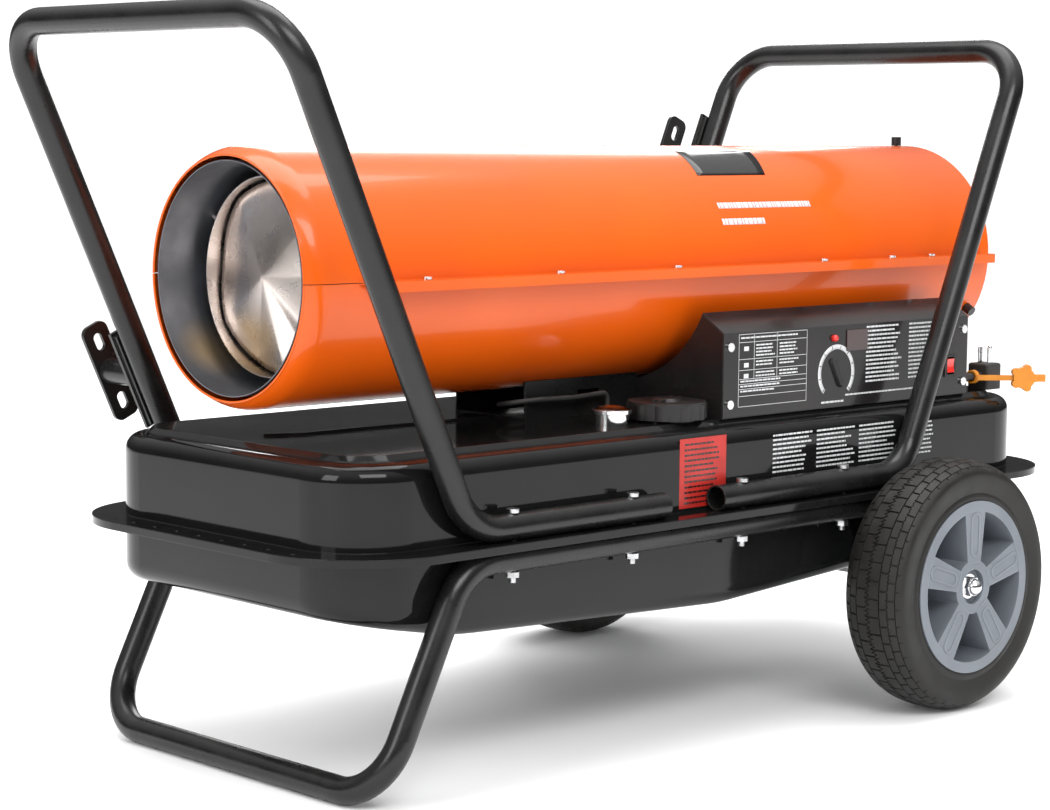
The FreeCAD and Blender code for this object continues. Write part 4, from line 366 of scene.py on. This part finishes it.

# %% [markdown]
# ## Sheet metal near the flame
# The chamber is aluminised steel: cool grey, nearly matt, with the faint flakes of its coating. Low on the left,
# the chamber and the cone each have a warm patch. It is partly a straw heat tint where the flame has licked them
# and partly a painted golden reflection. The cone and ring are brushed stainless steel, warmer and brighter. The
# brush marks are a noise that is stretched along one direction, and they tilt the normal.

# %% Heated sheet
def heated_sheet(name, color, second, heat_tint_and_glint, heat_tint_and_glint_centre, heat_tint_and_glint_radius, roughness, brush_scale, brush_height):
    """Bare sheet metal with brush marks or flakes and a warm patch of the given place and radius, partly heat tint
    and partly a painted reflection.
    """
    material = finish(name, color, second, roughness, 0.12, 30, metallic=1.0, grain_height=0.03,
                      dust_amount=0.0)
    tree = material.node_tree
    shader = tree.nodes["Principled BSDF"]
    place = add(tree, "ShaderNodeTexCoord")
    stretched = add(tree, "ShaderNodeMapping", {"Vector": place.outputs["Object"], "Scale": brush_scale})
    marks = add(tree, "ShaderNodeTexNoise",
                {"Vector": stretched.outputs["Vector"], "Scale": 1.0, "Detail": 4})
    plain_normal = shader.inputs["Normal"].links[0].from_socket
    brushed = add(tree, "ShaderNodeBump", {"Height": marks.outputs["Fac"], "Normal": plain_normal,
                                           "Strength": brush_height, "Distance": 0.0005})
    tree.links.new(brushed.outputs["Normal"], shader.inputs["Normal"])
    # The warm patch around the given centre is partly straw heat tint and partly a painted golden reflection.
    reach = add(tree, "ShaderNodeVectorMath", {0: place.outputs["Object"], 1: heat_tint_and_glint_centre},
                operation="DISTANCE")
    heat_tint_and_glint_mask = add(tree, "ShaderNodeMapRange", {"Value": reach.outputs["Value"], "From Min": 0,
                                            "From Max": heat_tint_and_glint_radius, "To Min": 0.5, "To Max": 0},
               interpolation_type="SMOOTHSTEP")
    heat_tint_and_glint_mix = add(tree, "ShaderNodeMix", data_type="RGBA")
    tree.links.new(heat_tint_and_glint_mask.outputs["Result"], heat_tint_and_glint_mix.inputs["Factor"])
    tree.links.new(shader.inputs["Base Color"].links[0].from_socket, heat_tint_and_glint_mix.inputs["A"])
    heat_tint_and_glint_mix.inputs["B"].default_value = (*heat_tint_and_glint, 1)
    tree.links.new(heat_tint_and_glint_mix.outputs["Result"], shader.inputs["Base Color"])
    return material


# The warm patches low on the chamber and the cone are partly heat tint and partly a painted golden reflection.
heated_sheet("galvanised", (0.24, 0.25, 0.275), (0.19, 0.20, 0.225), heat_tint_and_glint=(0.78, 0.55, 0.24),
             heat_tint_and_glint_centre=(-0.412, 0.078, 0.385), heat_tint_and_glint_radius=0.042, roughness=0.44,
             brush_scale=(120, 120, 120), brush_height=0.12)
heated_sheet("stainless", (0.74, 0.67, 0.63), (0.62, 0.55, 0.51), heat_tint_and_glint=(0.80, 0.62, 0.36),
             heat_tint_and_glint_centre=(-0.40, 0.03, 0.385), heat_tint_and_glint_radius=0.05, roughness=0.22,
             brush_scale=(1400, 60, 1400), brush_height=0.18)
print("heated sheets ready")

# %% [markdown]
# ## Tyre rubber and clear lenses
# Tyre rubber is brownish black and dull, and fine dust settles on it. The lens over the fuel gauge is clear
# with a plain, uniform transmission, so it can be exported.

# %% Rubber and lens
finish("tyre", (0.0075, 0.0068, 0.0062), (0.012, 0.011, 0.010), 0.42, 0.14, 35, grain_scale=1500,
       grain_height=0.3, radius=0.0006, dust_amount=0.06, specular=0.35)
clear = finish("clear", (0.96, 0.97, 0.97), (0.94, 0.95, 0.95), 0.03, 0.02, 20, grain_height=0.0,
               dust_amount=0.0)
clear_shader = clear.node_tree.nodes["Principled BSDF"]
clear_shader.inputs["Transmission Weight"].default_value = 1.0
clear_shader.inputs["IOR"].default_value = 1.45
print("rubber and lens ready")

# %% [markdown]
# ## Giving the CAD pieces their finishes
# The record names a material slot for every node. A CAD node keeps its mesh and takes the finish with its
# slot's name.

# %% Assign finishes
slot_of = {row["node"]: row["material_slot"] for row in frame["record"]["subparts"]}
for node, thing in frame["nodes"].items():
    thing.data.materials.clear()
    thing.data.materials.append(finishes[slot_of[node]])
lead.data.materials.append(finishes["black_rubber"])
print(len(slot_of), "nodes dressed")

# %% [markdown]
# ## Places that many pieces share
# The joints of the frame give the barrel's axis and the wheels' centres, and the boxes of a few nodes give
# the barrel's radius and the faces that printed marks lie on. The tank's side stands back from the edge of
# its rim.

# %% Shared places
MM = 0.001
joints = {joint["name"]: Vector(joint["pos_m"]) for joint in frame["joints"] if "pos_m" in joint}
BARREL_Z = joints["fan_spin"].z
BARREL_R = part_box("upper_shell")[1].z - BARREL_Z
PANEL_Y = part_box("control_cover")[0].y
RIM_WIDTH = 33 * MM
TANK_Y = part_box("tank_upper")[0].y + RIM_WIDTH
print("barrel axis at", round(BARREL_Z, 4), "panel at", round(PANEL_Y, 4))


def settle(piece, body, slot, finish_name=None, replaced=()):
    """Rides the piece on its body, dresses it with the named finish or the one of its slot's name unless it has
    one, and hides what it stands for.
    """
    if replaced:
        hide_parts(*replaced)
    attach(piece, body)
    if not piece.data.materials:
        piece.data.materials.append(finishes[finish_name or slot])
    return piece


# %% [markdown]
# ## Tyres
# The tyre is a moulded ring with a rounded tread: rows of long blocks like laid bricks, four straight grooves
# and three finely toothed ones. A grid is wrapped around the wheel. Its lines run exactly along the edges of
# the grooves, so that the blocks stay crisp with few faces. Places across the tread run from -1 to 1, and
# places around it are shares of one pitch.

# %% Tyre section
TYRE_PITCHES = 44
GROOVE_DEPTH = 1.6 * MM
GROOVE_HALF = 0.011
ROW_EDGES = (-0.78, -0.5, -0.25, 0.0, 0.25, 0.5, 0.78)
ZIGZAG_ROWS = (-0.5, 0.0, 0.5)
ZIGZAG = 0.022
STEPS = (0.0, 0.03, 0.075, 0.125, 0.25, 0.375, 0.5, 0.53, 0.575, 0.625, 0.75, 0.875)
CUT_STARTS = (0.53, 0.03)
CUT_WIDTH = 0.045
SHOULDER = 0.85
SHOULDER_DEPTH = 0.55
TREAD_ANGLE = math.radians(62)
ROUNDNESS = 2 / 2.7
SIDEWALL_POINTS = 12


def across_tread():
    """Places across the tread from -1 to 1, each with True where the groove's floor is."""
    places = [(-1.0, False), (-0.9, False)]
    for edge, after in zip(ROW_EDGES, (*ROW_EDGES[1:], 1.0)):
        places += [(edge - GROOVE_HALF * 1.5, False), (edge - GROOVE_HALF, True),
                   (edge + GROOVE_HALF, True), (edge + GROOVE_HALF * 1.5, False), ((edge + after) / 2, False)]
    places.append((1.0, False))
    return places


def crown(across, tyre_r, half_width, bead_r):
    """Radius and offset of the tyre's outside at a place across the tread, on a rounded section."""
    angle = across * TREAD_ANGLE
    middle = (tyre_r + bead_r) / 2 - 2 * MM
    offset = half_width * math.copysign(abs(math.sin(angle)) ** ROUNDNESS, across)
    return middle + (tyre_r - middle) * math.cos(angle) ** ROUNDNESS, offset


def cross_cut(across, step):
    """True where a cut runs across a block: neighbouring rows are half a pitch apart, as in brickwork."""
    row = sum(across > edge for edge in ROW_EDGES)
    start = CUT_STARTS[row % 2]
    return start - 0.001 <= step <= start + CUT_WIDTH + 0.001


print(len(across_tread()), "lines across the tread")

# %% Tyre mesh
def sidewall(sign, tyre_r, half_width, bead_r):
    """Radius and offset of points from the tread's edge down one side to the bead and under it."""
    start_r, start_y = crown(sign, tyre_r, half_width, bead_r)
    points = []
    for number in range(1, SIDEWALL_POINTS + 1):
        share = number / SIDEWALL_POINTS
        radius = start_r + (bead_r - start_r) * share
        belly = math.sin(math.pi * min(1, share * 1.15 + 0.12)) * 0.07 * half_width
        rings = 0.9 * MM * (abs(share - 0.86) < 0.06) - 1.2 * MM * math.sin(math.pi * share) ** 2
        points.append((radius, min(abs(start_y) + belly + rings, half_width) * sign))
    points.append((bead_r - 1 * MM, (half_width - 7 * MM) * sign))
    return points


def make_tyre(word):
    """One tyre around its wheel's centre, in the place of the plain CAD ring."""
    low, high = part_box(f"tyre_{word}")
    centre, tyre_r, half_width = (low + high) / 2, (high.z - low.z) / 2, (high.y - low.y) / 2
    bead_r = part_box(f"hub_{word}")[1].z - centre.z
    tread = across_tread()
    left = list(reversed(sidewall(-1, tyre_r, half_width, bead_r)))
    right = sidewall(1, tyre_r, half_width, bead_r)
    points, rows = [], TYRE_PITCHES * len(STEPS)
    for row in range(rows):
        pitch, index = divmod(row, len(STEPS))
        step = STEPS[index]
        angle = 2 * math.pi * (pitch + step) / TYRE_PITCHES
        zigzag = ZIGZAG * (-1) ** int(step * 8 + 0.01)
        ring = list(left)
        for across, is_groove in tread:
            shift = zigzag if min(abs(across - edge) for edge in ZIGZAG_ROWS) < 0.05 else 0
            radius, offset = crown(max(-1, min(1, across + shift)), tyre_r, half_width, bead_r)
            cut = is_groove or (cross_cut(across, step) and abs(across) < 0.99)
            depth = GROOVE_DEPTH * (SHOULDER_DEPTH if abs(across) > SHOULDER else 1)
            ring.append((radius - depth * cut, offset))
        ring += right
        points += [(centre.x + radius * math.sin(angle), centre.y + offset,
                    centre.z - radius * math.cos(angle)) for radius, offset in ring]
    width = len(points) // rows
    faces = [(row * width + k, row * width + (k + 1) % width, (row + 1) % rows * width + (k + 1) % width,
              (row + 1) % rows * width + k) for row in range(rows) for k in range(width)]
    tyre = mesh_from(f"moulded_tyre_{word}", points, faces)
    tyre.data.set_sharp_from_angle(angle=math.radians(28))
    settle(tyre, f"wheel_{word}", "tyre", replaced=(f"tyre_{word}",))
    print(tyre.name, len(faces), "faces, radius", round(tyre_r, 4), "half width", round(half_width, 4))
    return tyre


for word in ("left", "right"):
    make_tyre(word)

# %% [markdown]
# ## Flame cone
# The cone is a thin stainless disc that is pressed and folded by hand: straight creases run from its tip to
# its edge, the sheet between them is nearly flat, and its round edge has shallow dents. It is made from its
# tip outwards. Each crease has its place in degrees and its height in millimetres, chosen on its own.

# %% Cone
CONE_CREASES = ((6, 3.0), (52, -3.5), (84, 3.5), (133, -3.0), (178, 3.0), (221, -4.5), (240, 4.0),
                (262, -3.0), (292, 3.5), (330, -3.0))
cone_low, cone_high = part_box("flame_cone")
CONE_R = 89.5 * MM
CONE_TIP_X = cone_low.x - 3 * MM
CONE_RISE = 19 * MM
CONE_RINGS = 14
CONE_SPOKES = 216


def crease_height(angle):
    """The fold's height at the cone's edge, the share of the way between two creases, and their span."""
    turned = [(place + 360 * lap, lift) for lap in (-1, 0, 1) for place, lift in CONE_CREASES]
    for (before, low_lift), (after, high_lift) in zip(turned, turned[1:]):
        if before <= angle < after:
            share = (angle - before) / (after - before)
            soft = share * share * (3 - 2 * share) * 0.45 + share * 0.55
            return low_lift + (high_lift - low_lift) * soft, share, after - before
    raise ValueError("angle out of range")


def cone_sheet():
    """Points and faces of the cone's front side."""
    points = [(CONE_TIP_X, 0, BARREL_Z)]
    for ring in range(1, CONE_RINGS + 1):
        for spoke in range(CONE_SPOKES):
            angle = 360 * spoke / CONE_SPOKES
            lift, share, span = crease_height(angle)
            chord = math.cos(math.radians(span / 2)) / math.cos(math.radians(span * (share - 0.5)))
            reach = ring / CONE_RINGS
            radius = CONE_R * reach * (0.12 * chord + 0.88)
            height = CONE_RISE * reach + lift * MM * reach ** 1.3
            points.append((CONE_TIP_X + height, radius * math.cos(math.radians(angle)),
                           BARREL_Z + radius * math.sin(math.radians(angle))))
    faces = [(0, 1 + k, 1 + (k + 1) % CONE_SPOKES) for k in range(CONE_SPOKES)]
    for ring in range(CONE_RINGS - 1):
        inner, outer = 1 + ring * CONE_SPOKES, 1 + (ring + 1) * CONE_SPOKES
        faces += [(inner + k, outer + k, outer + (k + 1) % CONE_SPOKES, inner + (k + 1) % CONE_SPOKES)
                  for k in range(CONE_SPOKES)]
    return points, faces


def thicken(piece, thickness, offset=0.0):
    """Gives a sheet its real thickness."""
    modifier = piece.modifiers.new("sheet", "SOLIDIFY")
    modifier.thickness = thickness
    modifier.offset = offset
    return piece


cone = thicken(mesh_from("folded_cone", *cone_sheet()), 0.8 * MM)
settle(cone, "frame", "stainless", replaced=("flame_cone",))
print("cone in the CAD", [round(value, 4) for value in cone_low], [round(value, 4) for value in cone_high])

# %% [markdown]
# ## Moulded and pressed details
# The CAD hub has flat spokes. The moulded hub carries a long raised rib around each spoke's face, so closed
# ribbons with rounded ends ride on each wheel. The knob gets its toothed skirt and its straight grip, the
# fuel cap gets its double ribs, and the tank's front rim gets the shallow round marks that spot welds leave.

# %% Shape helpers
def lofted(name, rings, smooth=True):
    """A closed body from rings of equally many points, with flat ends."""
    width = len(rings[0])
    points = [point for ring in rings for point in ring]
    faces = [(row * width + k, row * width + (k + 1) % width, (row + 1) * width + (k + 1) % width,
              (row + 1) * width + k) for row in range(len(rings) - 1) for k in range(width)]
    faces += [tuple(range(width)), tuple(range(len(points) - 1, len(points) - width - 1, -1))]
    piece = mesh_from(name, points, faces, smooth)
    piece.data.set_sharp_from_angle(angle=math.radians(35))
    return piece


def stadium(half_length, half_width, count=10):
    """Points of a flat oval with straight sides and round ends."""
    ends = [(sign * (half_length - half_width), sign * half_width, sign) for sign in (1, -1)]
    points = []
    for centre, radius, sign in ends:
        for step in range(count + 1):
            angle = math.pi * (step / count - 0.5)
            points.append((centre + radius * math.cos(angle), radius * math.sin(angle)))
    return points


print("stadium of", len(stadium(2, 1)), "points")

# %% Hub ribs
SPOKE_ANGLES = [18 + 72 * number for number in range(5)]
RIB_MIDDLE = 54 * MM
RIB_HALF_LENGTH = 23 * MM
RIB_HALF_WIDTH = 7.5 * MM
RIB_WIDTH = 2.2 * MM
RIB_TOP = 1.2 * MM
RIB_FOOT = 0.15 * MM


def hub_ribs(word, side):
    """The raised ribbons on the five spokes of one wheel, each a closed loop with a square section."""
    centre = joints[f"wheel_{word}_spin"]
    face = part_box(f"hub_{word}")[side > 0].y
    points, faces = [], []
    outline = stadium(RIB_HALF_LENGTH, RIB_HALF_WIDTH)
    inline = stadium(RIB_HALF_LENGTH - RIB_WIDTH, RIB_HALF_WIDTH - RIB_WIDTH)
    for degrees in SPOKE_ANGLES:
        angle = math.radians(degrees)
        start = len(points)
        for flat, depth in ((outline, RIB_TOP), (outline, RIB_FOOT), (inline, RIB_FOOT), (inline, RIB_TOP)):
            for along, across in flat:
                reach = RIB_MIDDLE + along
                points.append((centre.x + reach * math.cos(angle) - across * math.sin(angle),
                               face - side * depth,
                               centre.z - side * (reach * math.sin(angle) + across * math.cos(angle))))
        count = len(outline)
        for band in range(4):
            here, there = start + band * count, start + (band + 1) % 4 * count
            faces += [(here + k, here + (k + 1) % count, there + (k + 1) % count, there + k)
                      for k in range(count)]
    ribs = mesh_from(f"hub_ribs_{word}", points, faces, smooth=False)
    return settle(ribs, f"wheel_{word}", "hub_grey")


for word, side in (("left", 1), ("right", -1)):
    print(hub_ribs(word, side).name)

# %% Thermostat knob
knob_low, knob_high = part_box("thermostat_knob")
knob_middle = (knob_low + knob_high) / 2
knob_radius = (knob_high.x - knob_low.x) / 2
KNOB_TEETH = 30
GRIP_TILT = math.radians(118)


def toothed(radius, tooth, depth):
    """A ring of points with rounded teeth, at this depth in front of the control face."""
    count = KNOB_TEETH * 6
    ring = []
    for step in range(count):
        angle = 2 * math.pi * step / count
        reach = radius - tooth * (0.5 - 0.5 * math.cos(angle * KNOB_TEETH))
        ring.append((knob_middle.x + reach * math.cos(angle), knob_high.y - depth,
                     knob_middle.z + reach * math.sin(angle)))
    return ring


skirt = [toothed(knob_radius - inset * MM, tooth * MM, depth * MM)
         for inset, tooth, depth in ((0, 0, 0.6), (0, 0, 2.2), (0.8, 0.9, 3.0), (1.6, 0.9, 7.6),
                                     (3.2, 0.4, 9.2), (7.0, 0, 9.9))]
settle(lofted("knob_skirt", skirt), "knob", "black_plastic", replaced=("thermostat_knob",))
grip = []
for depth, shrink in ((9.0, 0.0), (15.4, 0.9), (16.6, 1.8)):
    grip.append([(knob_middle.x + along * math.cos(GRIP_TILT) - across * math.sin(GRIP_TILT),
                  knob_high.y - depth * MM,
                  knob_middle.z + along * math.sin(GRIP_TILT) + across * math.cos(GRIP_TILT))
                 for along, across in stadium((17.5 - shrink) * MM, (4.6 - shrink) * MM)])
settle(lofted("knob_grip", grip), "knob", "black_plastic")
print("knob", round(knob_radius / MM, 1), "mm, depth", round((knob_high.y - knob_low.y) / MM, 1))

# %% Fuel cap ribs
cap_low, cap_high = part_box("fuel_cap")
cap_middle = (cap_low + cap_high) / 2
CAP_RIB_ALONG = (0.94, 0.34)
CAP_RIB_ASIDE = 4.2 * MM
CAP_RIB_DEPTHS = (3.4 * MM, 0.4 * MM)


def cap_ring(aside, depth):
    """The outline of one rib, moved sideways by aside, at this depth below the cap's top."""
    run_x, run_y = CAP_RIB_ALONG
    return [(cap_middle.x + along * run_x - (across + aside) * run_y,
             cap_middle.y + along * run_y + (across + aside) * run_x, cap_high.z - depth)
            for along, across in stadium(24 * MM, 1.5 * MM)]


for number, aside in enumerate((-CAP_RIB_ASIDE, CAP_RIB_ASIDE)):
    rib = lofted(f"cap_rib_{number}", [cap_ring(aside, depth) for depth in CAP_RIB_DEPTHS])
    settle(rib, "cap", "black_plastic")
print("cap ribs at", round(cap_high.z, 4))

# %% Spot weld marks
RIM_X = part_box("tank_upper")[0].x + 14 * MM
RIM_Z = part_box("tank_lower")[1].z + 1.5 * MM
WELD_COUNT = 9
WELD_PITCH = 34 * MM
WELD_SIDES = 14
WELD_RINGS = ((3.4, 0.0), (2.6, 0.35), (1.2, 0.5))
weld_points, weld_faces = [], []
for number in range(WELD_COUNT):
    y = (number - WELD_COUNT // 2) * WELD_PITCH
    base = len(weld_points)
    for reach, lift in WELD_RINGS:
        for step in range(WELD_SIDES):
            angle = 2 * math.pi * step / WELD_SIDES
            weld_points.append((RIM_X + reach * MM * math.cos(angle), y + reach * MM * math.sin(angle),
                                RIM_Z + lift * MM))
    for band in range(len(WELD_RINGS) - 1):
        here, there = base + band * WELD_SIDES, base + (band + 1) * WELD_SIDES
        weld_faces += [(here + k, here + (k + 1) % WELD_SIDES, there + (k + 1) % WELD_SIDES, there + k)
                       for k in range(WELD_SIDES)]
    weld_faces += [tuple(base + k for k in range(WELD_SIDES)),
                   tuple(there + k for k in reversed(range(WELD_SIDES)))]
settle(mesh_from("weld_marks", weld_points, weld_faces), "frame", "tank_black")
print(len(weld_faces), "faces of weld marks")

# %% [markdown]
# ## Printed marks
# The real heater carries tables, notes and labels. Here they are generic: plain bars and lines without any
# letters. Printed ink is a very thin closed layer on the sheet. One helper lays rectangles on a flat upright
# face, and a second one lays them on the round barrel.

# %% Ink
def ink(name, color, roughness):
    """Printed ink: an even colour that is slightly broken, with a satin surface."""
    return finish(name, color, tuple(value * 0.85 for value in color), roughness, 0.08, 60, radius=0.0001,
                  grain_height=0.02, dust_amount=0.0)


ink("white_ink", (0.62, 0.63, 0.64), 0.4)
ink("red_ink", (0.44, 0.018, 0.012), 0.3)
ink("black_ink", (0.010, 0.010, 0.010), 0.12)
ink("dim_ink", (0.16, 0.012, 0.010), 0.3)
LAYER = 0.15 * MM


def flat_print(name, rectangles, face_y, ink_name, slot):
    """Rectangles (x0, z0, x1, z1) in millimetres on an upright face, facing -Y."""
    points, faces = [], []
    for x0, z0, x1, z1 in rectangles:
        for y in (face_y - LAYER, face_y - LAYER * 0.1):
            points += [(x * MM, y, z * MM) for x, z in ((x0, z0), (x1, z0), (x1, z1), (x0, z1))]
        a = len(points) - 8
        faces += [(a, a + 1, a + 2, a + 3), (a + 7, a + 6, a + 5, a + 4)]
        faces += [(a + k, a + k + 4, a + (k + 1) % 4 + 4, a + (k + 1) % 4) for k in range(4)]
    piece = mesh_from(name, points, faces, smooth=False)
    return settle(piece, "frame", slot, ink_name)


def word_bars(x0, x1, z_top, pitch, rows, height, seed, fill=1.0):
    """Rows of short bars, as blocks of small print look from afar, in millimetres."""
    draw = random.Random(seed)
    bars = []
    for row in range(rows):
        z, x = z_top - row * pitch, x0
        end = x0 + (x1 - x0) * fill * draw.uniform(0.72, 1.0)
        while x < end - 1:
            length = min(draw.uniform(2.5, 7.5), end - x)
            bars.append((x, z - height, x + length, z))
            x += length + 0.9
    return bars


print("ink", LAYER * 1000, "mm thick")

# %% Control face print
TABLE = (54, 319, 159, 392)
TABLE_ROWS = (8, 25, 36, 45, 50, 55, 62)
LINE = 0.5
PANEL_NOTES = ((255, 318, 391, 4.4, 14, 1.9, 11), (327, 384, 391, 4.4, 14, 1.9, 12),
               (222, 392, 321.5, 4, 1, 1.7, 13), (183, 231, 315.8, 4, 1, 2.0, 14))


def table_lines():
    """The frame, columns and rows of the printed table."""
    x0, z0, x1, z1 = TABLE
    lines = [(x0, z1 - LINE, x1, z1), (x0, z0, x1, z0 + LINE), (x0, z0, x0 + LINE, z1),
             (x1 - LINE, z0, x1, z1)]
    lines += [(column, z1 - 45, column + LINE, z1) for column in (x0 + 23, x0 + 58)]
    lines += [(x0, z1 - drop - LINE, x1, z1 - drop) for drop in TABLE_ROWS]
    return lines


def table_words():
    """Small bars inside the table's cells."""
    x0, _, _, z1 = TABLE
    words = []
    for drop, rows in ((11, 4), (27.5, 2), (38.5, 2)):
        words += [(x0 + 8, z1 - drop - 6, x0 + 15, z1 - drop - 1.5)]
        words += word_bars(x0 + 26, x0 + 55, z1 - drop, 3.4, rows, 1.5, drop)
        words += word_bars(x0 + 62, x0 + 100, z1 - drop, 3.4, rows, 1.5, drop + 1, 0.8)
    words += word_bars(x0 + 3, x0 + 100, z1 - 3, 3.2, 1, 1.6, 5)
    words += word_bars(x0 + 3, x0 + 95, z1 - 46.6, 5, 3, 1.6, 6, 0.7)
    return words


panel_marks = table_lines() + table_words()
for block in PANEL_NOTES:
    panel_marks += word_bars(*block)
flat_print("panel_print", panel_marks, PANEL_Y, "white_ink", "box_black")
print(len(panel_marks), "marks on the control face")

# %% Tank side print
SIDE_NOTES = ((84, 146, 291, 4.6, 9, 1.8, 22), (152, 214, 291, 4.6, 9, 1.8, 23),
              (220, 282, 291, 4.6, 9, 1.8, 24), (320, 347, 287, 4.6, 8, 1.8, 25))
flat_print("tank_label", [(-53, 229, 14, 297)], TANK_Y, "red_ink", "tank_black")
label_bars = word_bars(-46, 8, 292, 5.2, 12, 1.9, 21)
flat_print("tank_label_print", label_bars, TANK_Y - LAYER, "black_ink", "tank_black")
side_bars = [bar for block in SIDE_NOTES for bar in word_bars(*block)]
flat_print("tank_side_print", side_bars, TANK_Y, "white_ink", "tank_black")
print(len(side_bars), "marks on the tank")

# %% Dial ring
def arc_band(name, centre_x, centre_z, inner, outer, start, end, face_y, ink_name):
    """A printed arc on the control face, between two radii in millimetres and two angles in degrees."""
    steps = max(8, int((end - start) / 4))
    points, faces = [], []
    for step in range(steps + 1):
        angle = math.radians(start + (end - start) * step / steps)
        for radius in (inner, outer):
            for y in (face_y - LAYER, face_y - LAYER * 0.1):
                points.append(((centre_x + radius * math.cos(angle)) * MM, y,
                               (centre_z + radius * math.sin(angle)) * MM))
    for step in range(steps):
        a, b = 4 * step, 4 * step + 4
        faces += [(a, a + 2, b + 2, b), (a + 1, b + 1, b + 3, a + 3), (a, b, b + 1, a + 1),
                  (a + 2, a + 3, b + 3, b + 2)]
    last = 4 * steps
    faces += [(0, 1, 3, 2), (last, last + 2, last + 3, last + 1)]
    return settle(mesh_from(name, points, faces), "frame", "box_black", ink_name)


DIAL_X = knob_middle.x / MM
DIAL_Z = knob_middle.z / MM
TICKS = 10
arc_band("dial_ring", DIAL_X, DIAL_Z, 24.5, 29.5, -45, 225, PANEL_Y, "white_ink")
for number in range(TICKS):
    tick = -40 + 260 * number / (TICKS - 1)
    arc_band(f"dial_tick_{number}", DIAL_X, DIAL_Z, 25.3, 28.7, tick, tick + 1.6, PANEL_Y - LAYER,
             "black_ink")
print("dial at", round(DIAL_X, 1), round(DIAL_Z, 1))

# %% Barrel print
def barrel_patch(low_start, low_end, low_angle, high_start, high_end, high_angle):
    """Points and faces of a sheet that lies on the barrel; angles are above the -Y side, in degrees."""
    columns = 8
    rows = max(2, int(abs(high_angle - low_angle) / 2))
    points = []
    for row in range(rows + 1):
        share = row / rows
        angle = math.radians(low_angle + (high_angle - low_angle) * share)
        start = low_start + (high_start - low_start) * share
        end = low_end + (high_end - low_end) * share
        for column in range(columns + 1):
            points.append(((start + (end - start) * column / columns) * MM,
                           -(BARREL_R + LAYER) * math.cos(angle),
                           BARREL_Z + (BARREL_R + LAYER) * math.sin(angle)))
    width = columns + 1
    faces = [(row * width + k, row * width + k + 1, (row + 1) * width + k + 1, (row + 1) * width + k)
             for row in range(rows) for k in range(columns)]
    return points, faces


def barrel_print(name, patches, ink_name):
    """One printed piece from several patches on the barrel."""
    points, faces = [], []
    for patch in patches:
        more_points, more_faces = barrel_patch(*patch)
        faces += [tuple(index + len(points) for index in face) for face in more_faces]
        points += more_points
    return settle(thicken(mesh_from(name, points, faces), LAYER), "frame", "shell_orange", ink_name)


barrel_print("barrel_plate", [(88, 193, 48.8, 100, 216, 73)], "black_ink")


def barrel_bars(start, end, angle, height, seed):
    """A row of bars along the barrel, the height of a letter in degrees."""
    row = word_bars(start, end, 0, 1, 1, 1, seed)
    return [(x0, x1, angle, x0, x1, angle + height) for x0, _, x1, _ in row]


barrel_print("barrel_bars", barrel_bars(92, 292, 28.6, 3.2, 31) + barrel_bars(91, 179, 20.0, 3.2, 32),
             "white_ink")
print("barrel print ready")
